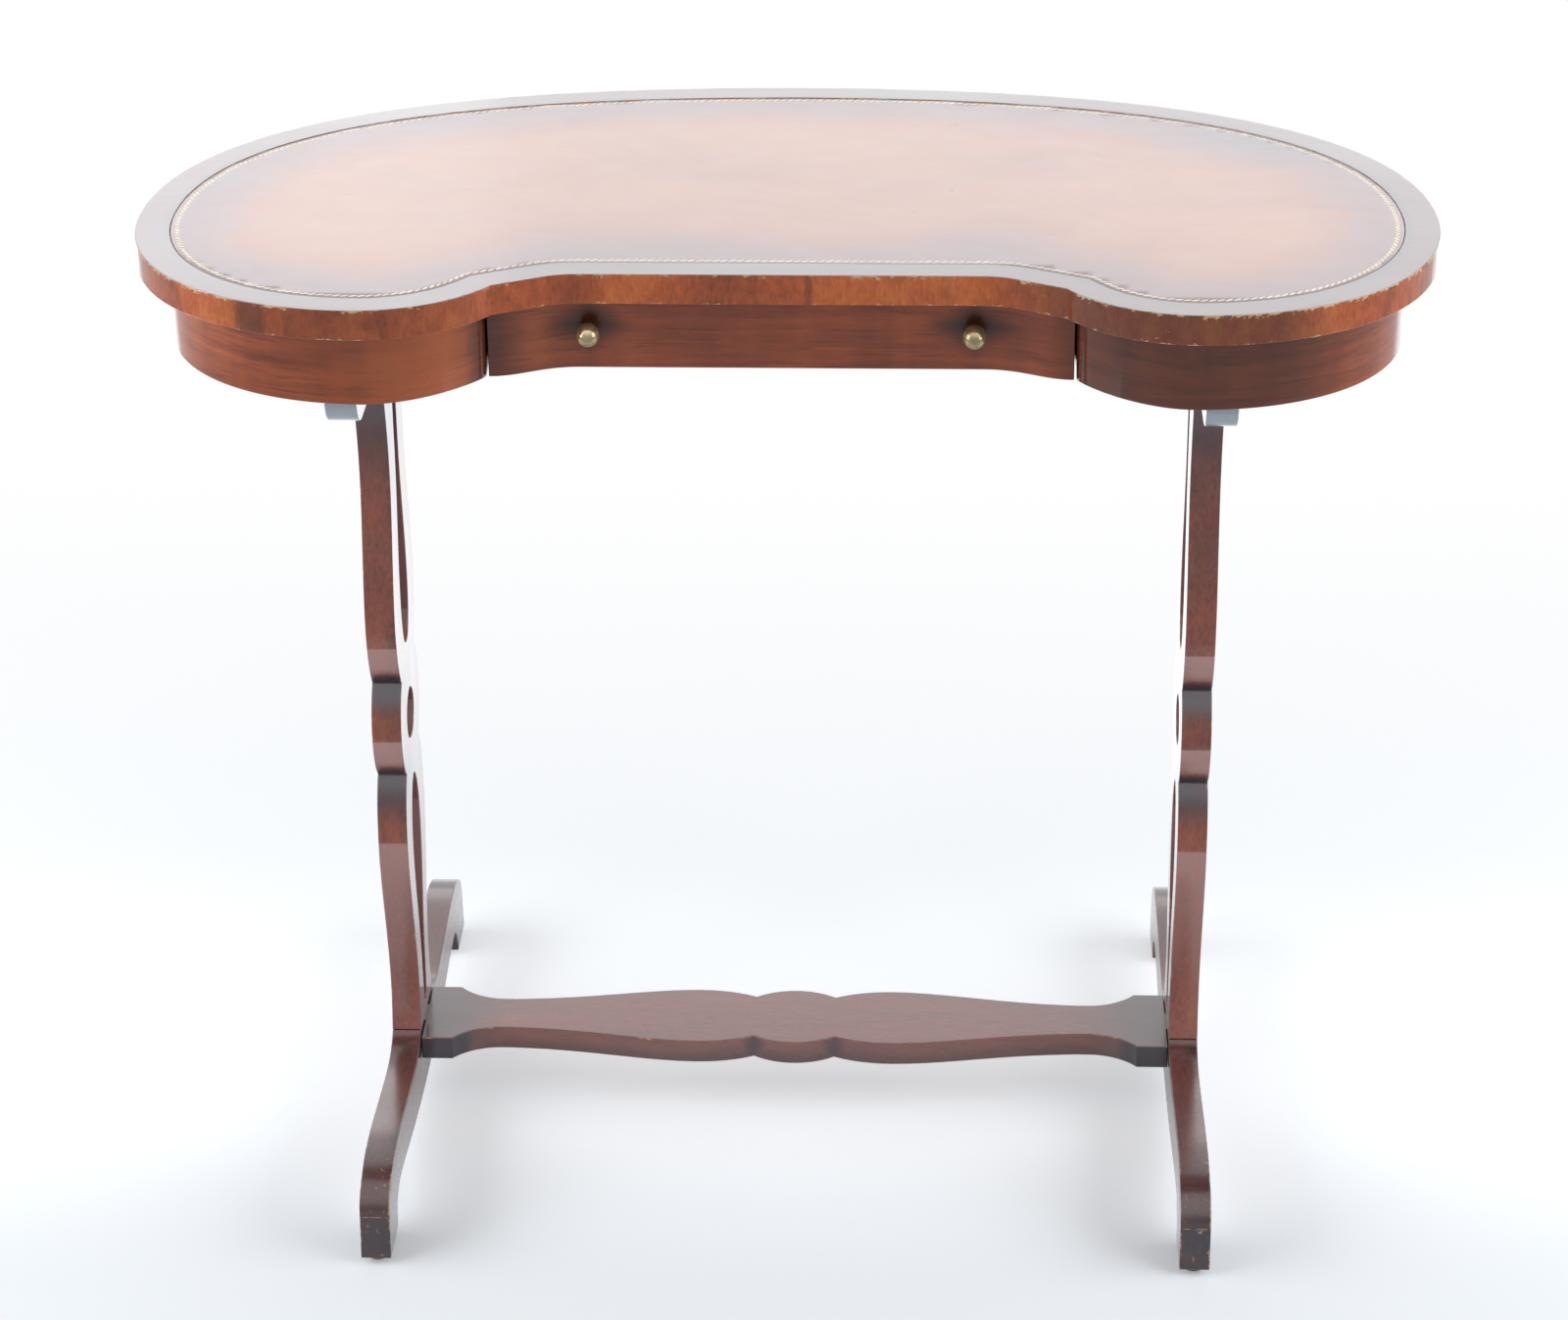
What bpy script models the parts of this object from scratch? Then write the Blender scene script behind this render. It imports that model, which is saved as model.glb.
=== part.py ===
"""A kidney shaped writing desk: a leather lined top over a shaped apron with one drawer,
carried on two pierced lyre boards, each on an arched foot, tied by a flat stretcher.

Metres, +Z up, the front towards -Y. The origin is on the floor under the middle of the desk.
"""

import math

import bmesh
import bpy
from mathutils import Vector

# Fits shared by all pieces
touch_gap = 0.0003
cut_overrun = 0.004
smooth_angle = math.radians(35)

# Top. The four shares of a curve are those of its run that set its leaving and arriving handles,
# each in x and in y. Places across the desk are shares of the top's width, and the recess's straight
# part is a share of the room between the lobes.
desk_height = 0.740
top_thickness = 0.021
top_width = 0.900
top_depth = 0.475
widest_point_forward = 0.050
lobe_spacing_share = 0.6189
lobe_inner_radius = 0.103
recess_depth = 0.0705
recess_straight_share = 0.7806
recess_bend_radius = 0.045
recess_bend_angle = 27.0
rim_width = 0.0237
leather_thickness = 0.0014
leather_drop = 0.0003
lobe_side_shares = (0.50, 0, 0, 0.656)
back_edge_shares = (0, 0.401, 0.846, 0)

# Apron, the case under the top
apron_overhang = 0.0285
apron_end_overhang = 0.0212
apron_thickness = 0.018
apron_height = 0.057
drawer_opening_share = 0.4444
drawer_end_forward = 0.0185
drawer_face_shares = (0.45, 0, 0.38, 0)
lobe_return_shares = (0.13, 0.36, 0.44, 0)

# Inside of the case
partition_thickness = 0.016
runner_width = 0.018
runner_height = 0.007
drawer_stop_length = 0.010
drawer_stop_height = 0.016
block_length = 0.034
block_leg = 0.014
block_height = 0.045
block_bevel = 0.006
lobe_block_place_shares = (0.035, 0.25, 0.46, 0.66, 0.90)
back_block_place_shares = (0.45,)

# Drawer
drawer_end_gap = 0.0015
drawer_top_gap = 0.0015
drawer_front_thickness = 0.020
drawer_board = 0.010
drawer_back_clearance = 0.0475
drawer_side_relief = 0.003
drawer_back_relief = 0.009
drawer_bottom_thickness = 0.004
drawer_bottom_lift = 0.002
groove_depth = 0.004

# Knobs and their screws. Each knob stands in from the end of the drawer's straight part.
knob_inset = 0.006
knob_ball_radius = 0.0075
knob_reach = 0.0120
knob_base_radius = 0.0045
knob_base_height = 0.0016
knob_neck_radius = 0.0029
knob_bore_depth = 0.012
knob_screw_radius = 0.0012
knob_screw_head_radius = 0.0034
knob_screw_head_height = 0.0020

# Boards of the base
board_thickness = 0.022
boards_apart_share = 0.6378
seat_height = 0.0721

# Lyre outline, from the foot up: half widths, and shares of the height from foot to head rail
lyre_foot_half = 0.036
lyre_ankle_half = 0.0303
lyre_ankle_height_share = 0.0679
lyre_bowl_half = 0.0521
lyre_bowl_height_share = 0.2976
lower_notch_half = 0.036
lower_notch_height_share = 0.3971
boss_rise = 0.0164
upper_notch_half = 0.0375
upper_notch_height_share = 0.5350
lyre_shoulder_half = 0.0556
lyre_shoulder_height_share = 0.6285
lyre_neck_half = 0.0401
lyre_neck_height_share = 0.8358
lyre_head_half = 0.062
lyre_ankle_shares = (0.70, 0.34, 0, 0.32)
lyre_bowl_shares = (0, 0.32, 0, 0.29)
lyre_lower_notch_shares = (0, 0.48, 0.62, 0.19)
lyre_shoulder_shares = (0.55, 0.225, 0, 0.38)
lyre_neck_shares = (0, 0.356, 0, 0.322)
lyre_head_shares = (0, 0.367, 0.55, 0.23)

# Lyre piercings: a round eye between two drop shaped slots
eye_radius = 0.0194
eye_height_share = 0.4589
lower_slot_bottom_share = 0.0120
lower_slot_foot_half = 0.0076
lower_slot_foot_height_share = 0.0644
lower_slot_half = 0.0220
lower_slot_height_share = 0.2777
lower_slot_top_share = 0.3661
lower_slot_foot_shares = (0.79, 0, 0, 0.55)
lower_slot_side_shares = (0, 0.356, 0, 0.347)
lower_slot_crown_shares = (0, 0.55, 0.52, 0)
upper_slot_bottom_share = 0.5655
upper_slot_half = 0.0198
upper_slot_height_share = 0.6474
upper_slot_neck_half = 0.0087
upper_slot_neck_height_share = 0.8483
upper_slot_top_share = 0.9469
upper_slot_bowl_shares = (0.63, 0, 0, 0.636)
upper_slot_side_shares = (0, 0.348, 0, 0.348)
upper_slot_crown_shares = (0, 0.636, 0.977, 0)

# Head rail over each lyre, with the cleat that screws it to the top. Its reach to the front and to
# the back is a share of the way to the top's edge.
rail_height = 0.0888
rail_front_share = 0.7495
rail_back_share = 0.5137
rail_nose_radius = 0.024
cleat_section = 0.018
cleat_length_share = 0.6667
cleat_screw_spacing_share = 0.75
cleat_screw_radius = 0.0022
cleat_screw_head_radius = 0.0044
cleat_screw_head_height = 0.0026
cleat_screw_bite = 0.011

# Dowels between foot, lyre and rail
dowel_radius = 0.004
dowel_half_length = 0.018
foot_dowel_spacing = 0.042
head_dowel_spacing = 0.076

# Foot outline: places out from the middle as shares of the toe's, heights as shares of the seat's
glide_height = 0.005
foot_toe_out = 0.2475
foot_toe_length = 0.044
foot_crease_back = 0.004
foot_seat_half = 0.035
foot_cove_out_share = 0.2828
foot_cove_height_share = 0.8322
foot_knee_out_share = 0.7434
foot_knee_height_share = 0.9404
foot_crease_height_share = 0.5270
foot_heel_height_share = 0.1664
foot_arch_out_share = 0.7273
foot_arch_height_share = 0.4300
foot_waist_out_share = 0.3354
foot_waist_height_share = 0.2843
foot_belly_height_share = 0.2288
foot_belly_shares = (0.40, 0, 0.35, 0.55)
foot_waist_shares = (0.30, 0.20, 0.30, 0)
foot_arch_shares = (0.50, 0, 0, 0.60)
foot_toe_shares = (0, 0.559, 0.639, 0)
foot_knee_shares = (0.298, 0, 0.307, 0.03)
foot_cove_shares = (0.429, 0.025, 0.229, 0.669)

# Stretcher outline: half widths, and places along it as shares of the way to the board
stretcher_drop = 0.0049
stretcher_thickness = 0.0186
stretcher_middle_out_share = 0.1071
stretcher_middle_half = 0.0297
stretcher_middle_rise = 0.0098
stretcher_swell_out_share = 0.2626
stretcher_swell_half = 0.0392
stretcher_waist_out_share = 0.7930
stretcher_waist_half = 0.0218
stretcher_block_length = 0.0237
stretcher_block_half = 0.0390
tenon_half = 0.012
tenon_length = 0.012
stretcher_swell_shares = (0.32, 0.72, 0.35, 0)
stretcher_waist_shares = (0.28, 0, 0.41, 0)
stretcher_block_shares = (0.42, 0, 0.19, 0.52)

# Glides
glide_radius = 0.0085
glide_back_from_toe = 0.015
glide_nail_radius = 0.0012
glide_nail_length = 0.012

# Counts
full_turn_steps = 24
screw_turn_steps = 12
pin_sides = 16


def clear_scene():
    for obj in list(bpy.data.objects):
        bpy.data.objects.remove(obj, do_unlink=True)


def new_collection(name):
    collection = bpy.data.collections.new(name)
    bpy.context.scene.collection.children.link(collection)
    return collection


clear_scene()
parts = new_collection("kidney_shaped_desk")
cutters = new_collection("cutters")


def finish(name, colour, roughness, metallic=0.0):
    material = bpy.data.materials.new(name)
    material.use_nodes = True
    shader = material.node_tree.nodes["Principled BSDF"]
    shader.inputs["Base Color"].default_value = (*colour, 1.0)
    shader.inputs["Roughness"].default_value = roughness
    shader.inputs["Metallic"].default_value = metallic
    material.diffuse_color = (*colour, 1.0)
    return material


mahogany = finish("mahogany", (0.115, 0.030, 0.016), 0.25)
dark_mahogany = finish("dark_mahogany", (0.060, 0.020, 0.014), 0.28)
veneer = finish("rim_veneer", (0.240, 0.075, 0.030), 0.22)
leather = finish("leather", (0.290, 0.165, 0.115), 0.42)
inside_wood = finish("inside_wood", (0.420, 0.270, 0.150), 0.60)
brass = finish("antique_brass", (0.300, 0.210, 0.110), 0.38, 1.0)
steel = finish("screw_steel", (0.450, 0.430, 0.400), 0.40, 1.0)
glide_brown = finish("glide_brown", (0.060, 0.035, 0.025), 0.55)


# Outlines, as lists of points in a plane

def curve(start, end, shares, steps):
    """The points after the start on a Bezier curve to the end."""
    start = Vector(start)
    end = Vector(end)
    run = end - start
    leave = start + Vector((shares[0] * run.x, shares[1] * run.y))
    arrive = end - Vector((shares[2] * run.x, shares[3] * run.y))
    points = []
    for step in range(1, steps + 1):
        t = step / steps
        rest = 1 - t
        points.append(start * rest**3 + leave * 3 * t * rest**2 + arrive * 3 * t**2 * rest + end * t**3)
    return points


def arc(centre, radius, from_degrees, to_degrees, steps):
    """The points on an arc, both its ends among them."""
    points = []
    for step in range(steps + 1):
        angle = math.radians(from_degrees + (to_degrees - from_degrees) * step / steps)
        points.append(Vector(centre) + Vector((math.cos(angle), math.sin(angle))) * radius)
    return points


def bow(start, end, rise, steps):
    """The points on the arc that bulges by the rise to the right of its chord, without the ends."""
    start = Vector(start)
    end = Vector(end)
    chord = end - start
    half = chord.length / 2
    radius = (half**2 + rise**2) / (2 * rise)
    outward = Vector((chord.y, -chord.x)).normalized()
    centre = (start + end) / 2 + outward * (rise - radius)
    spread = math.degrees(math.asin(half / radius))
    middle = math.degrees(math.atan2(outward.y, outward.x))
    return arc(centre, radius, middle - spread, middle + spread, steps)[1:-1]


def mirrored(half):
    """The closed outline of which the half right of the axis x = 0 is given."""
    half = [Vector(point) for point in half]
    return half + [Vector((-point.x, point.y)) for point in reversed(half) if point.x > touch_gap]


def inset(outline, distance):
    """A closed, anticlockwise outline moved inwards, with mitred corners."""
    points = []
    for index, point in enumerate(outline):
        before = (point - outline[index - 1]).normalized()
        after = (outline[(index + 1) % len(outline)] - point).normalized()
        inward = Vector((-before.y - after.y, before.x + after.x)).normalized()
        points.append(point + inward * distance / inward.dot(Vector((-before.y, before.x))))
    return points


def crossing(outline, x, back):
    """The y where a closed outline crosses x, at its back or at its front."""
    found = []
    for index, point in enumerate(outline):
        last = outline[index - 1]
        if min(last.x, point.x) <= x < max(last.x, point.x):
            found.append(last.y + (point.y - last.y) * (x - last.x) / (point.x - last.x))
    return max(found) if back else min(found)


# Plan of the top and of the apron under it

front_edge = -top_depth / 2
back_edge = top_depth / 2
recess_edge = front_edge + recess_depth
lobe_middle = top_width * lobe_spacing_share / 2
recess_straight_half = (lobe_middle - lobe_inner_radius) * recess_straight_share
drawer_opening = top_width * drawer_opening_share


def top_front():
    """From the middle of the recess round the bend and the cusp to the front of the lobe."""
    bend_centre = (recess_straight_half, recess_edge - recess_bend_radius)
    points = [Vector((0, recess_edge))]
    points += arc(bend_centre, recess_bend_radius, 90, 90 - recess_bend_angle, 4)
    slope = math.radians(recess_bend_angle)
    heading = Vector((math.cos(slope), -math.sin(slope)))
    lobe_centre = Vector((lobe_middle, front_edge + lobe_inner_radius))
    across = lobe_centre - points[-1]
    nearest = across.dot(heading)
    miss = (across - heading * nearest).length
    cusp = points[-1] + heading * (nearest - math.sqrt(lobe_inner_radius**2 - miss**2))
    reach = cusp - lobe_centre
    cusp_angle = math.degrees(math.atan2(reach.y, reach.x)) % 360
    return points + arc(lobe_centre, lobe_inner_radius, cusp_angle, 270, 9)


def round_the_end(overhang, end_overhang):
    """From the front of the lobe round the end to the middle of the back."""
    widest = (top_width / 2 - end_overhang, -widest_point_forward)
    back = (0, back_edge - overhang)
    points = curve((lobe_middle, front_edge + overhang), widest, lobe_side_shares, 14)
    return points + curve(widest, back, back_edge_shares, 20)


def apron_front():
    """The drawer's swept face, and the side of the lobe that returns to it."""
    face = recess_edge + apron_overhang
    face_end = (drawer_opening / 2, face - drawer_end_forward)
    points = [Vector((0, face)), Vector((recess_straight_half, face))]
    points += curve(points[-1], face_end, drawer_face_shares, 8)
    lobe_front = (lobe_middle, front_edge + apron_overhang)
    return points + curve(face_end, lobe_front, lobe_return_shares, 9)


top_outline = mirrored(top_front() + round_the_end(0, 0))
apron_outer = mirrored(apron_front() + round_the_end(apron_overhang, apron_end_overhang))
apron_inner = inset(apron_outer, apron_thickness)

# Levels and planes that several pieces share
top_underside = desk_height - top_thickness
apron_top = top_underside - touch_gap
apron_bottom = top_underside - apron_height
knob_face = recess_edge + apron_overhang
front_back_face = knob_face + drawer_front_thickness
partition_inner = drawer_opening / 2 + touch_gap
partition_outer = partition_inner + partition_thickness
drawer_side_outer = drawer_opening / 2 - drawer_end_gap
drawer_side_inner = drawer_side_outer - drawer_board
drawer_rear = back_edge - apron_overhang - apron_thickness - drawer_back_clearance
runner_top = apron_bottom + runner_height
drawer_floor = runner_top + touch_gap
drawer_side_top = apron_top - drawer_side_relief
bottom_panel_low = drawer_floor + drawer_bottom_lift
bottom_panel_high = bottom_panel_low + drawer_bottom_thickness
board_inner = top_width * boards_apart_share / 2
board_outer = board_inner + board_thickness
board_middle = board_inner + board_thickness / 2
foot_bottom = glide_height + touch_gap
lyre_bottom = seat_height + touch_gap
rail_bottom = apron_top - rail_height
rail_front = front_edge * rail_front_share
rail_back = back_edge * rail_back_share
lyre_head_height = rail_bottom - touch_gap
stretcher_top = seat_height - stretcher_drop
stretcher_bottom = stretcher_top - stretcher_thickness
sides = (("left", -1), ("right", 1))


# Ways of making a solid

def named(obj, name, material):
    obj.name = name
    obj.data.name = name
    obj.data.materials.clear()
    obj.data.materials.append(material)
    for collection in list(obj.users_collection):
        collection.objects.unlink(obj)
    parts.objects.link(obj)
    return obj


def flat_board(name, outlines, thickness, material):
    """A board cut to its outlines: the first is its edge, the others go through it."""
    data = bpy.data.curves.new(name, "CURVE")
    data.dimensions = "2D"
    data.fill_mode = "BOTH"
    data.extrude = thickness / 2
    for outline in outlines:
        spline = data.splines.new("POLY")
        spline.points.add(len(outline) - 1)
        for target, point in zip(spline.points, outline):
            target.co = (point[0], point[1], 0, 1)
        spline.use_cyclic_u = True
    sketch = bpy.data.objects.new(name, data)
    parts.objects.link(sketch)
    bpy.context.view_layer.update()
    graph = bpy.context.evaluated_depsgraph_get()
    mesh = bpy.data.meshes.new_from_object(sketch.evaluated_get(graph))
    work = bmesh.new()
    work.from_mesh(mesh)
    bmesh.ops.remove_doubles(work, verts=work.verts, dist=touch_gap / 10)
    bmesh.ops.recalc_face_normals(work, faces=work.faces)
    work.to_mesh(mesh)
    work.free()
    board = bpy.data.objects.new(name, mesh)
    board.matrix_world = sketch.matrix_world
    bpy.data.objects.remove(sketch, do_unlink=True)
    parts.objects.link(board)
    return smooth(named(board, name, material))


def smooth(obj):
    """Shades the shallow edges smooth and keeps the corners sharp."""
    obj.data.shade_smooth()
    obj.data.set_sharp_from_angle(angle=smooth_angle)
    return obj


def lay_flat(board, bottom, top):
    """Lays a board drawn from above between two levels."""
    board.location.z = (bottom + top) / 2
    return board


def stand(board, x):
    """Stands a board drawn from the desk's right end in the plane x."""
    board.rotation_euler = (math.pi / 2, 0, math.pi / 2)
    board.location.x = x
    return board


def box(name, low, high, material):
    """A block between two corners."""
    low = Vector(low)
    high = Vector(high)
    bpy.ops.mesh.primitive_cube_add(size=1, location=(low + high) / 2)
    block = bpy.context.object
    block.scale = high - low
    bpy.ops.object.transform_apply(location=False, rotation=False, scale=True)
    return named(block, name, material)


def side_box(name, side, inner, outer, y_range, z_range, material):
    """A block between two distances out from the middle, on the left or on the right."""
    low, high = sorted((side * inner, side * outer))
    return box(name, (low, y_range[0], z_range[0]), (high, y_range[1], z_range[1]), material)


def round_pin(name, radius, start, end, material):
    """A cylinder between two points."""
    start = Vector(start)
    end = Vector(end)
    middle = (start + end) / 2
    bpy.ops.mesh.primitive_cylinder_add(
        vertices=pin_sides, radius=radius, depth=(end - start).length, location=middle
    )
    pin = bpy.context.object
    pin.rotation_euler = (end - start).to_track_quat("Z", "Y").to_euler()
    return smooth(named(pin, name, material))


def turned(name, profile, material, steps=full_turn_steps):
    """A solid turned about Z. The profile of (radius, height) runs down its outer side."""
    mesh = bpy.data.meshes.new(name)
    edges = [(index, index + 1) for index in range(len(profile) - 1)]
    mesh.from_pydata([(radius, 0, height) for radius, height in profile], edges, [])
    piece = bpy.data.objects.new(name, mesh)
    parts.objects.link(piece)
    turn = piece.modifiers.new("turn", "SCREW")
    turn.steps = steps
    turn.render_steps = steps
    turn.use_merge_vertices = True
    turn.merge_threshold = touch_gap / 10
    return smooth(applied(named(piece, name, material)))


def applied(obj):
    """The object with its modifiers made part of its mesh."""
    bpy.context.view_layer.update()
    graph = bpy.context.evaluated_depsgraph_get()
    mesh = bpy.data.meshes.new_from_object(obj.evaluated_get(graph))
    obj.modifiers.clear()
    obj.data = mesh
    mesh.name = obj.name
    return obj


def as_cutter(obj):
    for collection in list(obj.users_collection):
        collection.objects.unlink(obj)
    cutters.objects.link(obj)
    obj.hide_render = True
    obj.display_type = "WIRE"
    return obj


def cut(target, cutter, operation="DIFFERENCE"):
    """Takes the cutter's shape out of the target, or keeps only what lies inside it."""
    boolean = target.modifiers.new("cut", "BOOLEAN")
    boolean.object = as_cutter(cutter)
    boolean.operation = operation
    boolean.solver = "EXACT"
    return target


def ride(piece, carrier):
    """Makes a piece move with an empty."""
    piece.parent = carrier
    piece.matrix_parent_inverse = carrier.matrix_world.inverted()


# Top: a veneered rim round a softer core, with the leather let in flush

def build_top():
    core_outline = inset(top_outline, rim_width + touch_gap)
    rim = flat_board("top_rim", [top_outline, inset(top_outline, rim_width)], top_thickness, veneer)
    lay_flat(rim, top_underside, desk_height)
    leather_top = desk_height - leather_drop
    leather_bottom = leather_top - leather_thickness
    core_top = leather_bottom - touch_gap
    core = flat_board("top_core", [core_outline], core_top - top_underside, inside_wood)
    lay_flat(core, top_underside, core_top)
    skin = flat_board("leather_writing_surface", [core_outline], leather_thickness, leather)
    lay_flat(skin, leather_bottom, leather_top)
    return core


# Apron: one bent board round each lobe and one across the back

def apron_ring(name):
    ring = flat_board(name, [apron_outer, apron_inner], apron_top - apron_bottom, mahogany)
    return lay_flat(ring, apron_bottom, apron_top)


def build_apron():
    seam = drawer_opening / 2
    reach_x = top_width / 2
    levels = (apron_bottom - cut_overrun, apron_top + cut_overrun)
    for name, side in sides:
        keep = side_box("keep_" + name, side, seam, reach_x, (front_edge, back_edge), levels, mahogany)
        cut(apron_ring("apron_" + name), keep, "INTERSECT")
    seam -= touch_gap
    keep = box("keep_back", (-seam, 0, levels[0]), (seam, back_edge, levels[1]), mahogany)
    cut(apron_ring("apron_back"), keep, "INTERSECT")


# Partitions beside the drawer, with the runners it slides on and the stops behind it

def build_partitions():
    front = crossing(apron_inner, partition_inner, False) + touch_gap
    back = crossing(apron_inner, partition_outer, True) - touch_gap
    runner_outer = partition_inner - touch_gap
    runner_front = front_back_face + touch_gap
    stop_front = drawer_rear + touch_gap
    stop_bottom = runner_top + touch_gap
    for name, side in sides:
        side_box(
            "drawer_partition_" + name,
            side,
            partition_inner,
            partition_outer,
            (front, back),
            (apron_bottom, apron_top),
            inside_wood,
        )
        side_box(
            "drawer_runner_" + name,
            side,
            runner_outer - runner_width,
            runner_outer,
            (runner_front, back),
            (apron_bottom, runner_top),
            inside_wood,
        )
        side_box(
            "drawer_stop_" + name,
            side,
            runner_outer - runner_width,
            runner_outer,
            (stop_front, stop_front + drawer_stop_length),
            (stop_bottom, stop_bottom + drawer_stop_height),
            inside_wood,
        )


# Glue blocks in the corner between apron and top

def walk(run, share):
    """The point at a share of the length of a run of points."""
    lengths = [(b - a).length for a, b in zip(run, run[1:])]
    left = share * sum(lengths)
    for index, length in enumerate(lengths):
        if left <= length:
            return run[index].lerp(run[index + 1], left / length)
        left -= length
    return run[-1]


def block_outline(run, share):
    """A block with its long side against the run and its two free corners planed off."""
    length = sum((b - a).length for a, b in zip(run, run[1:]))
    start = walk(run, share)
    heading = (walk(run, share + block_length / length) - start).normalized()
    inward = Vector((-heading.y, heading.x))
    start = start + inward * touch_gap
    end = start + heading * block_length
    shoulder = inward * (block_leg - block_bevel)
    return [
        start,
        end,
        end + shoulder,
        end - heading * block_bevel + inward * block_leg,
        start + heading * block_bevel + inward * block_leg,
        start + shoulder,
    ]


def build_glue_blocks():
    half = apron_inner[: len(apron_inner) // 2 + 1]
    lobe_run = [point for point in half if point.x > partition_outer]
    back_run = [point for point in half if point.y > 0 and point.x < partition_inner]
    outlines = [block_outline(lobe_run, share) for share in lobe_block_place_shares]
    outlines += [block_outline(back_run, share) for share in back_block_place_shares]
    for number, outline in enumerate(outlines, 1):
        for name, side in sides:
            placed = [Vector((side * point.x, point.y)) for point in outline]
            block = flat_board(f"glue_block_{name}_{number}", [placed], block_height, inside_wood)
            lay_flat(block, apron_top - block_height, apron_top)


# Drawer

def drawer_front_outline():
    end = drawer_side_outer
    face = [point for point in apron_outer if abs(point.x) < end and point.y < 0]
    face.sort(key=lambda point: point.x)
    left = Vector((-end, crossing(apron_outer, -end, False)))
    right = Vector((end, crossing(apron_outer, end, False)))
    return [left] + face + [right, Vector((end, front_back_face)), Vector((-end, front_back_face))]


def panel_groove():
    """The space that the drawer's bottom slides into, open at the back."""
    half = drawer_side_inner + groove_depth
    low = (-half, front_back_face - groove_depth, bottom_panel_low - touch_gap)
    high = (half, drawer_rear + cut_overrun, bottom_panel_high + touch_gap)
    return as_cutter(box("panel_groove", low, high, inside_wood))


def knob_profile():
    ball_low = math.degrees(math.asin(knob_neck_radius / knob_ball_radius)) - 90
    profile = [(point.x, point.y) for point in arc((0, knob_reach), knob_ball_radius, 90, ball_low, 12)]
    profile[0] = (0, knob_reach + knob_ball_radius)
    profile += [
        (knob_neck_radius, 2 * knob_base_height),
        (knob_base_radius, knob_base_height),
        (knob_base_radius, 0),
        (knob_screw_radius + touch_gap, 0),
        (knob_screw_radius + touch_gap, knob_bore_depth),
        (0, knob_bore_depth),
    ]
    return profile


def screw_profile(head_radius, head_height, shank_radius, shank_length):
    """A screw standing on its head, with the underside of the head at height zero."""
    return [
        (0, shank_length),
        (shank_radius, shank_length - shank_radius),
        (shank_radius, 0),
        (head_radius, 0),
        (head_radius, -head_height / 2),
        (head_radius - head_height / 2, -head_height),
        (0, -head_height),
    ]


def build_knobs(front):
    """Two brass balls, each held by a screw from inside the drawer."""
    height = (apron_bottom + apron_top) / 2
    seat = knob_face - touch_gap
    head_seat = front_back_face + touch_gap
    shank = head_seat - seat + knob_bore_depth - touch_gap
    profile = screw_profile(knob_screw_head_radius, knob_screw_head_height, knob_screw_radius, shank)
    pieces = []
    for name, side in sides:
        x = side * (recess_straight_half - knob_inset)
        knob = turned("knob_" + name, knob_profile(), brass)
        knob.location = (x, seat, height)
        knob.rotation_euler.x = math.pi / 2
        screw = turned("knob_screw_" + name, profile, steel, screw_turn_steps)
        screw.location = (x, head_seat, height)
        screw.rotation_euler.x = math.pi / 2
        pieces += [knob, screw]
        hole_front = (x, knob_face - cut_overrun, height)
        hole_back = (x, front_back_face + cut_overrun, height)
        hole = round_pin("knob_hole", knob_screw_radius + touch_gap, hole_front, hole_back, steel)
        cut(front, hole)
    return pieces


def build_drawer():
    slide = bpy.data.objects.new("drawer_slide", None)
    slide.location = (0, front_back_face, (apron_bottom + apron_top) / 2)
    parts.objects.link(slide)
    bpy.context.view_layer.update()
    groove = panel_groove()
    front_top = apron_top - drawer_top_gap
    front = flat_board("drawer_front", [drawer_front_outline()], front_top - apron_bottom, mahogany)
    lay_flat(front, apron_bottom, front_top)
    pieces = [cut(front, groove)]
    side_front = front_back_face + touch_gap
    for name, side in sides:
        board = side_box(
            "drawer_side_" + name,
            side,
            drawer_side_inner,
            drawer_side_outer,
            (side_front, drawer_rear),
            (drawer_floor, drawer_side_top),
            inside_wood,
        )
        pieces.append(cut(board, groove))
    back_half = drawer_side_inner - touch_gap
    back_low = (-back_half, drawer_rear - drawer_board, bottom_panel_high + touch_gap)
    back_high = (back_half, drawer_rear, drawer_side_top - drawer_back_relief)
    pieces.append(box("drawer_back", back_low, back_high, inside_wood))
    panel_half = drawer_side_inner + groove_depth - touch_gap
    panel_low = (-panel_half, front_back_face - groove_depth + touch_gap, bottom_panel_low)
    panel_high = (panel_half, drawer_rear, bottom_panel_high)
    pieces.append(box("drawer_bottom", panel_low, panel_high, inside_wood))
    pieces += build_knobs(front)
    for piece in pieces:
        ride(piece, slide)


# Feet

def foot_outline():
    heel_out = foot_toe_out - foot_toe_length
    crease_out = foot_toe_out - foot_crease_back
    belly = (0, seat_height * foot_belly_height_share)
    waist = (foot_toe_out * foot_waist_out_share, seat_height * foot_waist_height_share)
    arch = (foot_toe_out * foot_arch_out_share, seat_height * foot_arch_height_share)
    heel = (heel_out, seat_height * foot_heel_height_share)
    toe_low = (foot_toe_out, foot_bottom)
    crease = (crease_out, seat_height * foot_crease_height_share)
    knee = (foot_toe_out * foot_knee_out_share, seat_height * foot_knee_height_share)
    cove = (foot_toe_out * foot_cove_out_share, seat_height * foot_cove_height_share)
    seat_corner = (foot_seat_half, seat_height)
    points = [belly]
    points += curve(belly, waist, foot_belly_shares, 5)
    points += curve(waist, arch, foot_waist_shares, 6)
    points += curve(arch, heel, foot_arch_shares, 6)
    points += [(heel_out, foot_bottom), toe_low, crease]
    points += curve(crease, knee, foot_toe_shares, 9)
    points += curve(knee, cove, foot_knee_shares, 9)
    points += curve(cove, seat_corner, foot_cove_shares, 7)
    return mirrored(points)


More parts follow.
